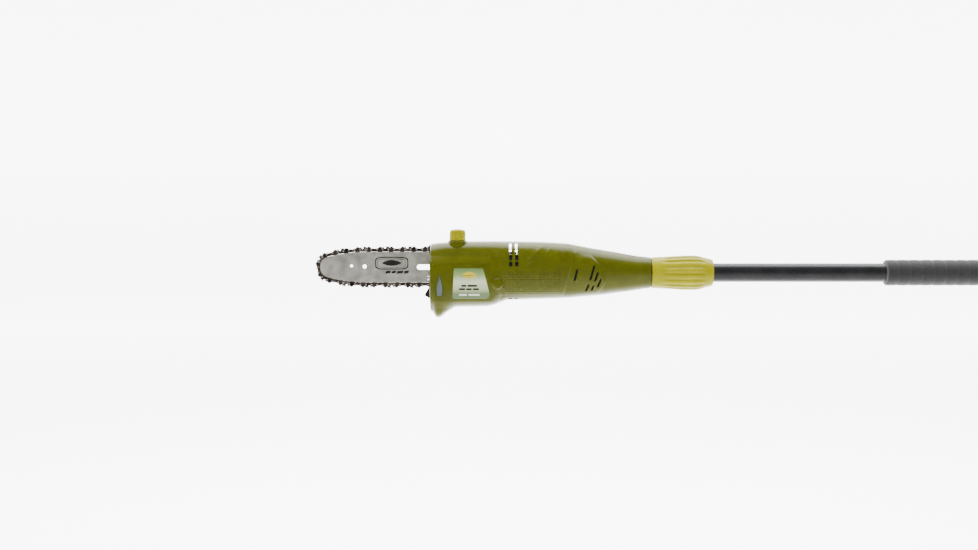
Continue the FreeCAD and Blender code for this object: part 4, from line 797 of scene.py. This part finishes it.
    def cover(self, finishes: Finishes, knob: tuple[float, float]) -> None:
        """Sprocket cover on the right, open at the front for the chain."""
        x = self.rows()
        front = np.concatenate([x[x < self.bay_rear], [self.bay_rear]])
        top, bottom, width, power = self.form.section(front)
        edge = np.degrees(np.arctan(((width / (self.bay_wall + 0.4)) ** power - 1) ** (1 / power)))
        grid = self.form.grid(front, edge, -edge, 96, False)
        piece = surface("sprocket_cover_shell", self.with_ends(grid))
        weld(piece)
        orient(piece, self.form)
        thicken(piece, self.wall)
        settle(piece)
        mouth = extrude_outline("mouth", rounded_outline(np.array([
            (-400.0, 44.0), (-352.0, 44.0), (-352.0, -26.0), (-400.0, -26.0)]), 3.0, 4), 10.0, 29.5)
        seat = revolve("seat", np.array([45.2, 45.2, 60.0, 60.0]), np.array([0.01, 19.0, 19.0, 0.01]), "Y",
                       (knob[0], 0.0, knob[1]), 64)
        tool = join("cover_openings", [mouth, seat])
        carve(piece, tool)
        settle(piece)
        put(piece, "head", "olive_plastic", finishes.get("olive"), "sprocket_cover")
        bpy.data.objects.remove(tool)
        ribs = []
        for i in range(7):
            z = -22.0 + 7.0 * i
            run = np.linspace(-318.0, -262.0, 40)
            across = np.linspace(-1.0, 1.0, 9)
            u, v = np.meshgrid(run, across, indexing="ij")
            fade = np.sqrt(np.clip(1 - ((u + 290.0) / 28.5) ** 2, 0.0, 1.0))
            height = z + 1.5 * v
            right_y = -self.form.left_y(u, height) * 0.0 + self.right_y(u, height)
            y = right_y + 1.3 * np.cos(v * np.pi / 2) * fade - 0.1
            ribs.append(surface("rib", np.stack([u, y, height], axis=-1), flip=True))
        rib = join("cover_grip_ribs", ribs)
        put(rib, "head", "olive_plastic", finishes.get("olive"))

    def right_y(self, x: Array, z: Array) -> Array:
        """Y of the right surface at (x, z)."""
        top, bottom, width, power = self.form.section(x)
        middle, half = (top - bottom) / 2, (top + bottom) / 2
        return width * np.clip(1 - np.abs((z - middle) / half) ** power, 0.0, 1.0) ** (1 / power)

    def patch(self, name: str, corners: Array, lift: float, step: float = 0.8) -> bpy.types.Object:
        """Thin film on the left surface: a grid across the outline's box, squeezed between
        the outline's left and right edges, at the surface's own height plus a lift."""
        bottom, top = corners[:, 1].min(), corners[:, 1].max()
        rows = max(8, int((top - bottom) / step))
        z = np.linspace(bottom, top, rows)
        left, right = outline_span(corners, z)
        columns = max(8, int((right.max() - left.min()) / step))
        share = np.linspace(0.0, 1.0, columns)
        x = left[:, None] + (right - left)[:, None] * share
        height = np.repeat(z[:, None], columns, axis=1)
        return surface(name, np.stack([x, self.form.left_y(x, height, lift), height], axis=-1))

    def shade_screens(self, finishes: Finishes) -> None:
        """Painted shade: dark sheets close behind the slots and the lower vents, standing in for the shadowed inside
        of the head.
        """
        for name, x0, x1, z0, z1 in (("slot_shade_screen", -137.0, -78.0, -35.0, 20.0),
                                     ("vent_shade_screen", -243.0, -219.0, 8.0, 32.0)):
            screen = self.patch(name, np.array([(x0, z1), (x1, z1), (x1, z0), (x0, z0)]), self.screen_lift, 3.0)
            put(screen, "head", "black_plastic", finishes.get("soft_black"))

    def label(self, finishes: Finishes) -> None:
        """Rating label: film, a plain leaf mark and rows of plain bars in place of words."""
        film = self.patch("label_film", rounded_outline(np.array([
            (-330.5, 10.0), (-282.0, 10.0), (-271.0, -34.0), (-274.5, -41.0), (-333.0, -41.0)]), 2.5), 0.25)
        put(thicken(film, 0.3), "head", "label_film", finishes.get("label"), "rating_label")
        t = np.linspace(0.0, 1.0, 24)
        arc = np.sin(np.pi * t) ** 0.75
        leaf = np.concatenate([np.column_stack([-318.0 + 26.0 * t, -2.0 + 6.2 * arc]),
                               np.column_stack([-292.0 - 26.0 * t, -2.0 - 5.2 * np.sin(np.pi * t) ** 0.9])[1:-1]])
        mark = self.patch("label_leaf", leaf, 0.45, 0.4)
        put(mark, "head", "label_film", finishes.get("ink_yellow"))
        vein = self.patch("label_leaf_vein", np.array([
            (-319.0, -2.6), (-294.0, -1.0), (-294.0, -1.6), (-319.0, -3.6)]), 0.6, 0.3)
        put(vein, "head", "label_film", finishes.get("ink_green"))
        bars = []
        for z, start, widths in ((-17.8, -318.0, (8.0, 16.0)), (-23.4, -322.0, (10.0, 9.0, 10.0))):
            x = start
            for width in widths:
                bars.append(self.patch("bar", np.array([
                    (x, z), (x + width, z), (x + width, z - 3.0), (x, z - 3.0)]), 0.42, 0.8))
                x += width + 2.0
        ink = join("label_dark_bars", bars)
        put(ink, "head", "label_film", finishes.get("ink"))
        pale = []
        for x, width in ((-322.0, 13.0), (-306.0, 18.0)):
            pale.append(self.patch("bar", np.array([
                (x, -33.0), (x + width, -33.0), (x + width, -35.8), (x, -35.8)]), 0.42, 0.8))
        white = join("label_pale_bars", pale)
        put(white, "head", "label_film", finishes.get("ink_white"))

    def window(self, finishes: Finishes) -> None:
        """Oil sight window: a pointed drop of smoked plastic in a shallow surround of olive painted darker as shade.
        """
        t = np.linspace(0.0, 1.0, 30)
        half = 4.9 * np.sin(np.pi / 2 * np.clip(t / 0.7, 0.0, 1.0)) ** 1.2 - 0.9 * np.clip(t - 0.7, 0.0, 1.0) / 0.3
        z = -1.0 - 35.0 * t
        outline = np.concatenate([np.column_stack([-354.5 + half, z]),
                                  np.column_stack([-354.5 - half, z])[::-1]])
        glass = self.patch("oil_window_pane", outline, 0.5, 0.5)
        put(thicken(glass, 1.2), "head", "window_plastic", finishes.get("smoke_window"), "oil_window")
        rim = outline.copy()
        rim[:, 0] = -354.5 + (rim[:, 0] + 354.5) * 1.35
        rim[:, 1] = -17.0 + (rim[:, 1] + 17.0) * 1.06
        frame_piece = self.patch("oil_window_surround", rim, 0.2, 0.5)
        # The surround wears the darker olive copy: painted shade round the window.
        put(frame_piece, "head", "olive_plastic", finishes.get("olive_shaded"))

    def texture_grid(self, finishes: Finishes) -> None:
        """Square waffle of raised cells on the motor bay's left side: the height is the product
        of two rounded square waves."""
        x = np.arange(-252.0, -152.0, 0.55)
        z = np.arange(-33.0, 3.0, 0.55)
        u, v = np.meshgrid(x, z, indexing="ij")
        pitch = 4.1
        wave = np.clip(1.6 * np.abs(np.sin(np.pi * u / pitch)), 0, 1) * np.clip(1.6 * np.abs(np.sin(np.pi * v / pitch)), 0, 1)
        slant = smooth((-151.0 + (v + 36.0) * 0.30 - u) / 3.0) * smooth((u + 252.0) / 2.0)
        ends = smooth((3.0 - v) / 2.0) * smooth((v + 33.0) / 2.0)
        lift = -0.35 + (0.45 + 0.75 * wave) * slant * ends
        grid = np.stack([u, self.form.left_y(u, v) - lift, v], axis=-1)
        piece = surface("texture_grid", grid)
        put(piece, "head", "olive_plastic", finishes.get("olive"))

    def boss(self, finishes: Finishes) -> None:
        """Filler boss that the oil cap sits on, flared into the head's top."""
        along = np.array([43.0, 47.0, 49.5, 51.5, 53.0, 54.2, 54.6, 54.6, 50.0])
        radius = np.array([18.4, 17.6, 16.8, 16.5, 16.4, 16.2, 15.4, 12.4, 12.4])
        piece = revolve("filler_boss", along, radius, "Z", (self.filler[0], self.filler[1], 0.0), 72)
        put(piece, "head", "olive_plastic", finishes.get("olive"))

    def build(self, finishes: Finishes) -> None:
        """Builds every outer piece of the head."""
        for side, build in ((Side.LEFT, self.left), (Side.RIGHT, self.right)):
            cutter = self.cutter(side)
            build(finishes, cutter)
            bpy.data.objects.remove(cutter)
        # Dark sheets behind the openings: painted shade for the inside of the head.
        self.shade_screens(finishes)
        low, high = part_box("cover_knob")
        self.cover(finishes, ((low[0] + high[0]) / 2 / MM, (low[2] + high[2]) / 2 / MM))
        self.label(finishes)
        self.window(finishes)
        self.texture_grid(finishes)
        self.boss(finishes)


def outline_span(corners: Array, z: Array) -> tuple[Array, Array]:
    """Least and greatest x of an outline at each height, from where its edges cross that height."""
    closed = np.vstack([corners, corners[:1]])
    low, high = np.full(z.shape, np.inf), np.full(z.shape, -np.inf)
    for (x0, z0), (x1, z1) in zip(closed[:-1], closed[1:]):
        if abs(z1 - z0) < 1e-9:
            continue
        t = (z - z0) / (z1 - z0)
        hit = (t >= -1e-6) & (t <= 1 + 1e-6)
        x = x0 + t * (x1 - x0)
        low = np.where(hit, np.minimum(low, x), low)
        high = np.where(hit, np.maximum(high, x), high)
    bad = ~np.isfinite(low)
    low[bad], high[bad] = corners[:, 0].mean(), corners[:, 0].mean()
    return low, high


def join(name: str, pieces: list[bpy.types.Object]) -> bpy.types.Object:
    """One object from several."""
    shape = bmesh.new()
    for piece in pieces:
        shape.from_mesh(piece.data)
    mesh = bpy.data.meshes.new(name)
    shape.to_mesh(mesh)
    shape.free()
    mesh.shade_smooth()
    for piece in pieces:
        bpy.data.objects.remove(piece)
    made = bpy.data.objects.new(name, mesh)
    bpy.context.scene.collection.objects.link(made)
    return made


def orient(piece: bpy.types.Object, form: HeadForm) -> None:
    """Turns every face of a head skin away from the head's middle line."""
    shape = bmesh.new()
    shape.from_mesh(piece.data)
    shape.normal_update()
    wrong = []
    for face in shape.faces:
        centre = face.calc_center_median() / MM
        away = Vector((0.0, centre.y, centre.z))
        if centre.x < form.front - 1.0:
            away = Vector((-40.0, centre.y * 0.2, centre.z * 0.2))
        if face.normal.dot(away) < 0:
            wrong.append(face)
    bmesh.ops.reverse_faces(shape, faces=wrong)
    shape.to_mesh(piece.data)
    shape.free()


# ---------------------------------------------------------------- oil cap and collar
@dataclass
class OilCap:
    """Ribbed filler cap with a domed top."""

    ribs: int = 20
    centre: tuple[float, float] = (-325.0, -20.0)

    def build(self, finishes: Finishes) -> None:
        """The side's radius swells and falls with the ribs; the top is a low dome with a rim."""
        steps = self.ribs * 8
        angle = np.linspace(0.0, 2 * np.pi, steps, endpoint=False)
        wave = 0.5 + 0.5 * np.cos(self.ribs * angle)
        heights = np.array([55.0, 55.0, 55.6, 57.0, 58.2, 59.4, 61.0, 65.0, 69.0, 70.5, 71.6, 72.6, 73.4, 74.0, 74.4, 74.6])
        base = np.array([12.3, 13.4, 13.9, 13.9, 13.7, 13.6, 13.5, 13.5, 13.4, 13.0, 12.5, 11.5, 9.6, 6.6, 3.2, 0.02])
        depth = np.array([0, 0, 0, 0, 0.3, 1.0, 1.3, 1.3, 1.2, 0.8, 0.35, 0.05, 0, 0, 0, 0])
        radius = base[:, None] - depth[:, None] * wave[None, :] ** 2
        piece = revolve("oil_cap_body", heights, radius, "Z", (*self.centre, 0.0), steps)
        put(piece, "cap", "lime_plastic", finishes.get("lime"), "oil_cap")


@dataclass
class LockCollar:
    """Twist-lock collar: a flared barrel with shallow grip flutes that fade in and out."""

    start: float
    length: float
    flutes: int = 16

    def build(self, finishes: Finishes) -> None:
        """The radius follows a smooth profile, less a flute depth that is the fourth power of a
        cosine round the collar, times a window along it."""
        steps = self.flutes * 12
        angle = np.linspace(0.0, 2 * np.pi, steps, endpoint=False)
        knots = np.array([0.0, 1.2, 5.0, 22.0, 45.0, 64.0, 76.0, 92.0, 101.0, 104.0])
        values = np.array([25.0, 26.1, 26.5, 27.3, 28.6, 29.4, 29.2, 25.6, 23.4, 22.2])
        along = np.concatenate([np.linspace(0.0, 6.0, 12), np.linspace(7.0, self.length - 5.0, 80),
                                np.linspace(self.length - 4.0, self.length, 10)])
        base = hermite(along * 104.0 / self.length, knots, values)
        window = smooth((along - 14.0) / 16.0) * smooth((self.length - 10.0 - along) / 14.0)
        swing = np.abs(np.cos(self.flutes * angle / 2)) ** 5
        radius = base[:, None] - 1.9 * window[:, None] * swing[None, :]
        inner_front = np.full((3, steps), 0.0) + np.array([20.5, 18.0, 15.4])[:, None]
        inner_rear = np.full((2, steps), 0.0) + np.array([19.0, 16.5])[:, None]
        places = np.concatenate([[0.4, 0.2, 0.0][::-1], along, [self.length, self.length - 1.0]])
        rows = np.concatenate([inner_front[::-1], radius, inner_rear])
        piece = revolve("lock_collar_body", self.start + places, rows, "X", (0.0, 0.0, 0.0), steps)
        piece.data.set_sharp_from_angle(angle=math.radians(50))
        put(piece, "collar", "lime_plastic", finishes.get("lime"), "lock_collar")


# ---------------------------------------------------------------- guide bar print
@dataclass
class BarPrint:
    """Plain badge printed on the left face of the bar: a frame, a leaf and a row of blocks."""

    face: float
    centre: tuple[float, float]
    proud: float = 0.06

    def sheet(self, name: str, *outlines: Array) -> bpy.types.Object:
        """Flat print between two outlines, or filled from one outline to its middle."""
        rows = list(outlines)
        if len(rows) == 1:
            rows.append(np.repeat(rows[0].mean(axis=0)[None], len(rows[0]), axis=0))
        flat = [np.column_stack([row[:, 0], np.full(len(row), self.face - self.proud), row[:, 1]]) for row in rows]
        return surface(name, np.stack(flat), wrap=True)

    def build(self, finishes: Finishes) -> None:
        """The frame is the band between two superellipses; the leaf is two arcs that meet."""
        cx, cz = self.centre
        turn = np.linspace(0.0, 2 * np.pi, 96, endpoint=False)
        cosine, sine = np.cos(turn), np.sin(turn)
        reach = (np.abs(cosine) ** 5 + np.abs(sine) ** 5) ** (-1 / 5)

        def frame_line(half_wide: float, half_high: float) -> Array:
            """Rounded rectangle about the badge's centre."""
            return np.column_stack([cx + half_wide * reach * cosine, cz + half_high * reach * sine])

        t = np.linspace(0.0, 1.0, 30)
        arch = np.sin(np.pi * t)
        leaf = np.concatenate([np.column_stack([cx - 17 + 34 * t, cz + 5.6 * arch ** 0.8]),
                               np.column_stack([cx + 17 - 34 * t, cz - 4.6 * arch ** 0.9])[1:-1]])
        shapes = [self.sheet("frame", frame_line(28.5, 11.0), frame_line(26.6, 9.2)),
                  self.sheet("frame", frame_line(24.6, 7.6), frame_line(23.8, 6.9)),
                  self.sheet("leaf", leaf)]
        x = cx - 10.0
        for width in (9.0, 7.0, 11.0, 8.0):
            shapes.append(self.sheet("block", np.array([
                (x, cz - 13.4), (x + width, cz - 12.6), (x + width - 1.4, cz - 17.2), (x - 1.4, cz - 18.0)])))
            x += width + 1.6
        mark = join("bar_badge", shapes)
        mark.data.shade_flat()
        put(mark, "guide_bar", "bar_steel", finishes.get("ink"))


# ---------------------------------------------------------------- chain
@dataclass
class SawChain:
    """Links of the chain: drive links with bumpers, waisted tie straps and cutters.

    Each pair of neighbouring rivets carries one link. A link is an outline in its own
    directions, along the chain's travel and outwards from the bar, given its thickness.
    """

    plane: float
    drive: tuple[tuple[float, float], ...] = (
        (-6.6, -2.0), (-6.6, 0.9), (-5.4, 2.3), (-4.0, 2.3), (-3.2, 3.9), (-1.6, 5.0), (0.7, 4.8), (2.2, 3.3),
        (3.6, 2.2), (5.6, 2.3), (6.7, 0.7), (6.7, -2.0), (4.4, -3.7), (1.6, -8.0), (-1.2, -8.0), (-4.2, -3.7))
    strap: tuple[tuple[float, float], ...] = (
        (-7.4, -1.4), (-7.0, 1.0), (-5.7, 2.3), (-4.0, 2.2), (-1.8, 1.4), (1.8, 1.4), (4.0, 2.2), (5.7, 2.3),
        (7.0, 1.0), (7.4, -1.4), (6.7, -3.9), (3.0, -4.0), (-3.0, -4.0), (-6.7, -3.9))
    cutter: tuple[tuple[float, float], ...] = (
        (-7.4, -1.4), (-7.2, 1.8), (-6.4, 4.4), (-3.0, 4.9), (-0.2, 5.3), (-0.9, 3.2), (0.2, 1.2), (1.8, 1.0),
        (3.0, 3.9), (4.6, 4.4), (6.2, 2.8), (7.4, -1.4), (6.7, -3.9), (3.0, -4.0), (-3.0, -4.0),
        (-6.7, -3.9))
    roof: tuple[tuple[float, float], ...] = ((-6.5, 3.5), (-6.5, 4.5), (-0.2, 5.4), (-0.6, 4.3))

    def rivets(self) -> Array:
        """Centres (x, z) of the rivets in millimetres."""
        return islands_centre(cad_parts["chain_rivets"].data)[:, [0, 2]]

    def build(self, finishes: Finishes) -> None:
        """Places every link between its two rivets, cutters where the frame's cutters are."""
        centres = self.rivets()
        gap = np.linalg.norm(centres[:, None] - centres[None], axis=2)
        first, second = np.nonzero(np.triu((gap > 1.0) & (gap < 11.5)))
        middle = (centres[first] + centres[second]) / 2
        along = centres[second] - centres[first]
        along = along / np.linalg.norm(along, axis=1, keepdims=True)
        low, high = centres.min(axis=0), centres.max(axis=0)
        spine = np.column_stack([np.clip(middle[:, 0], low[0] + 24.0, high[0] - 20.0),
                                 np.full(len(middle), (low[1] + high[1]) / 2)])
        out = np.column_stack([-along[:, 1], along[:, 0]])
        out = out * np.sign(((middle - spine) * out).sum(axis=1))[:, None]
        travel = np.column_stack([-out[:, 1], out[:, 0]])
        drives = islands_centre(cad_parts["chain_drive_links"].data)[:, [0, 2]]
        teeth = islands_centre(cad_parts["chain_cutters"].data)
        is_drive = np.linalg.norm(middle[:, None] - drives[None], axis=2).min(axis=1) < 3.6
        made: dict[str, list[bpy.types.Object]] = {"drive": [], "strap": [], "cutter": []}

        def place(kind: str, outline: tuple, i: int, y0: float, y1: float) -> None:
            """Adds one plate of link i between two heights."""
            points = np.array(outline)
            spot = middle[i] + points[:, :1] * travel[i] + points[:, 1:] * out[i]
            made[kind].append(extrude_outline(kind, spot, self.plane + y0, self.plane + y1))

        for i in range(len(middle)):
            if is_drive[i]:
                place("drive", self.drive, i, -0.62, 0.62)
                continue
            for side in (-1, 1):
                same = teeth[np.sign(teeth[:, 1] - self.plane) == side]
                y0, y1 = sorted((side * 0.68, side * 1.88))
                if np.linalg.norm(same[:, [0, 2]] - middle[i], axis=1).min() < 5.0:
                    place("cutter", self.cutter, i, y0, y1)
                    y0, y1 = sorted((side * -0.3, side * 2.9))
                    place("cutter", self.roof, i, y0, y1)
                else:
                    place("strap", self.strap, i, y0, y1)
        for kind, node_name, finish in (("drive", "chain_drive_links", "chain_steel"),
                                        ("strap", "chain_tie_straps", "chain_steel"),
                                        ("cutter", "chain_cutters", "cutter_steel")):
            links = join("chain_" + kind, made[kind])
            links.data.shade_flat()
            put(links, "head", "chain_steel", finishes.get(finish), node_name)


def islands_centre(mesh: bpy.types.Mesh) -> Array:
    """Middle of each loose piece of a mesh in millimetres, with points welded by position."""
    points = np.empty(len(mesh.vertices) * 3)
    mesh.vertices.foreach_get("co", points)
    edges = np.empty(len(mesh.edges) * 2, dtype=int)
    mesh.edges.foreach_get("vertices", edges)
    spots, which = np.unique(np.round(points.reshape(-1, 3) / MM, 2), axis=0, return_inverse=True)
    ends = which.reshape(-1)[edges].reshape(-1, 2)
    label = np.arange(len(spots))
    while True:
        low = np.minimum(label[ends[:, 0]], label[ends[:, 1]])
        new = label.copy()
        np.minimum.at(new, ends[:, 0], low)
        np.minimum.at(new, ends[:, 1], low)
        new = new[new]
        if np.array_equal(new, label):
            break
        label = new
    groups = [spots[label == k] for k in np.unique(label)]
    return np.array([(g.min(axis=0) + g.max(axis=0)) / 2 for g in groups])


# ---------------------------------------------------------------- grip
@dataclass
class FoamGrip:
    """Foam sleeve on the pole: a tube whose radius swells a little between its moulded rings."""

    def build(self, finishes: Finishes) -> None:
        """The radius is a constant plus a rounded wave along the pole; the ends are rounded off."""
        low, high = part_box("foam_grip")
        start, end, outer = low[0] / MM, high[0] / MM, high[2] / MM
        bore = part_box("outer_tube")[1][2] / MM
        along = np.linspace(0.0, end - start, 260)
        ring = np.abs(np.sin(np.pi * along / 20.0)) ** 0.35
        fillet = np.minimum(along, along[::-1])
        round_off = 3.5 * (1 - np.sqrt(np.clip(1 - (1 - np.clip(fillet / 3.5, 0, 1)) ** 2, 0, 1)))
        radius = outer - 0.9 * (1 - ring) - round_off
        rows = np.concatenate([[bore + 0.1], radius, [bore + 0.1]])
        places = start + np.concatenate([[0.0], along, [end - start]])
        piece = revolve("foam_grip_sleeve", places, rows, "X", (0.0, 0.0, 0.0), 96)
        put(piece, "pole", "foam", finishes.get("foam"), "foam_grip")


# ---------------------------------------------------------------- CAD nodes
NODE_FINISHES = {
    "black_oxide": ("housing_screws", "front_plates", "handle_screws"),
    "bar_steel": ("bar_side_plates", "bar_core"),
    "bright_steel": ("bar_rivets", "tension_block", "tension_screw", "nose_sprocket", "sprocket_shaft",
                     "drive_sprocket", "bevel_gear", "bevel_pinion", "rotor_shaft", "rotor_core",
                     "motor_stator", "shaft_bearings", "chain_rivets", "bar_stud", "trigger_spring",
                     "button_spring", "inlet_pins"),
    "chain_steel": ("chain_drive_links", "chain_tie_straps"),
    "cutter_steel": ("chain_cutters",),
    "copper": ("commutator", "field_coils"),
    "cast_alloy": ("gearbox_casting",),
    "natural": ("oil_tank",),
    "black": ("cooling_fan", "carbon_brushes", "brush_holder", "oil_pump", "pole_clamp", "tail_ring",
              "cover_knob", "tube_end_bush", "lock_collet", "thread_sleeve", "tube_liner", "switch_body",
              "inlet_cup", "cord_hook"),
    "soft_black": ("oil_pipe", "cap_seal", "coiled_lead", "trigger"),
    "drawn_tube": ("inner_tube",),
    "pole_coat": ("outer_tube",),
    "olive": ("handle_left", "handle_right", "housing_left", "housing_right", "sprocket_cover"),
    "lime": ("lock_off_button", "oil_cap", "lock_collar"),
    "smoke_window": ("oil_window",),
    "foam": ("foam_grip",),
    "label": ("rating_label",),
}


def dress_nodes(finishes: Finishes) -> None:
    """Gives every CAD node its finish."""
    for finish, names in NODE_FINISHES.items():
        for name in names:
            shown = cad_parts[name]
            shown.data.materials.clear()
            shown.data.materials.append(finishes.get(finish))
            log.info("node %s is %s", name, finish)


# ---------------------------------------------------------------- studio
@dataclass
class Studio:
    """Pale curved backdrop, soft lights and the camera."""

    aim: tuple[float, float, float] = (-0.2722, 0.0, -0.004)
    distance: float = 2.15
    elevation: float = 3.0
    frame_width: float = 1.6626

    def backdrop(self, finishes: Finishes) -> None:
        """Floor that curves up into a wall: a quarter circle between two flat runs."""
        floor_z, wall_y, bend = -0.62, 7.0, 1.2
        turn = np.linspace(0.0, np.pi / 2, 16)
        y = np.concatenate([[-30.0, 0.0], wall_y - bend + bend * np.sin(turn), [wall_y]])
        z = np.concatenate([[floor_z, floor_z], floor_z + bend - bend * np.cos(turn), [4.5]])
        x = np.array([-30.0, 30.0])
        u, k = np.meshgrid(x, np.arange(len(y)), indexing="ij")
        grid = np.stack([u, y[k], z[k]], axis=-1) / MM
        sheet = surface("backdrop", grid)
        sheet.data.materials.append(finishes.get("backdrop"))

    def light(self, name: str, place: tuple[float, float, float], size: tuple[float, float], power: float,
              target: tuple[float, float, float], mirrored: bool = True) -> None:
        """Soft rectangular light aimed at a point; one that isn't mirrored leaves no glint."""
        data = bpy.data.lights.new(name, "AREA")
        data.shape = "RECTANGLE"
        data.size, data.size_y = size
        data.energy = power
        lamp = bpy.data.objects.new(name, data)
        lamp.location = place
        lamp.visible_glossy = mirrored
        lamp.rotation_euler = (Vector(target) - Vector(place)).to_track_quat("-Z", "Y").to_euler()
        bpy.context.scene.collection.objects.link(lamp)

    def camera(self) -> None:
        """Camera on the left side of the saw, a little above it."""
        data = bpy.data.cameras.new("camera")
        data.sensor_width = 36.0
        data.lens = 36.0 * self.distance / self.frame_width
        made = bpy.data.objects.new("camera", data)
        tilt = math.radians(self.elevation)
        aim = Vector(self.aim)
        made.location = aim + Vector((0.0, -math.cos(tilt), math.sin(tilt))) * self.distance
        made.rotation_euler = (aim - made.location).to_track_quat("-Z", "Y").to_euler()
        bpy.context.scene.collection.objects.link(made)
        bpy.context.scene.camera = made

    def build(self, finishes: Finishes) -> None:
        """Sets up the whole studio."""
        self.backdrop(finishes)
        self.camera()
        self.light("top_softbox", (-0.15, 0.55, 1.4), (3.4, 1.5), 170.0, (-0.15, 0.35, 0.0))
        self.light("front_key", (-0.9, -1.7, 1.5), (1.4, 0.8), 34.0, (-0.25, 0.0, 0.0), False)
        self.light("front_fill", (0.7, -2.3, 0.3), (1.2, 1.2), 14.0, (-0.1, 0.0, 0.0), False)
        world = bpy.data.worlds.new("studio")
        world.use_nodes = True
        world.node_tree.nodes["Background"].inputs["Color"].default_value = (1.0, 1.0, 1.0, 1.0)
        world.node_tree.nodes["Background"].inputs["Strength"].default_value = 0.16
        bpy.context.scene.world = world


def main() -> None:
    """Builds the saw's looks round the frame, in order."""
    logging.basicConfig(level=logging.INFO, format="%(name)s %(message)s")
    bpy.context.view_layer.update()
    finishes = all_finishes()
    dress_nodes(finishes)
    low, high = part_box("housing_left")
    form = HeadForm(tail=high[0] / MM, front=-367.0)
    Studio().build(finishes)
    SawHead(form).build(finishes)
    OilCap().build(finishes)
    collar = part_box("lock_collar")
    LockCollar(collar[0][0] / MM, (collar[1][0] - collar[0][0]) / MM).build(finishes)
    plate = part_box("bar_side_plates")
    BarPrint(plate[0][1] / MM, (-439.0, 15.2)).build(finishes)
    SawChain((plate[0][1] + plate[1][1]) / 2 / MM).build(finishes)
    FoamGrip().build(finishes)


if __name__ == "__main__":
    main()
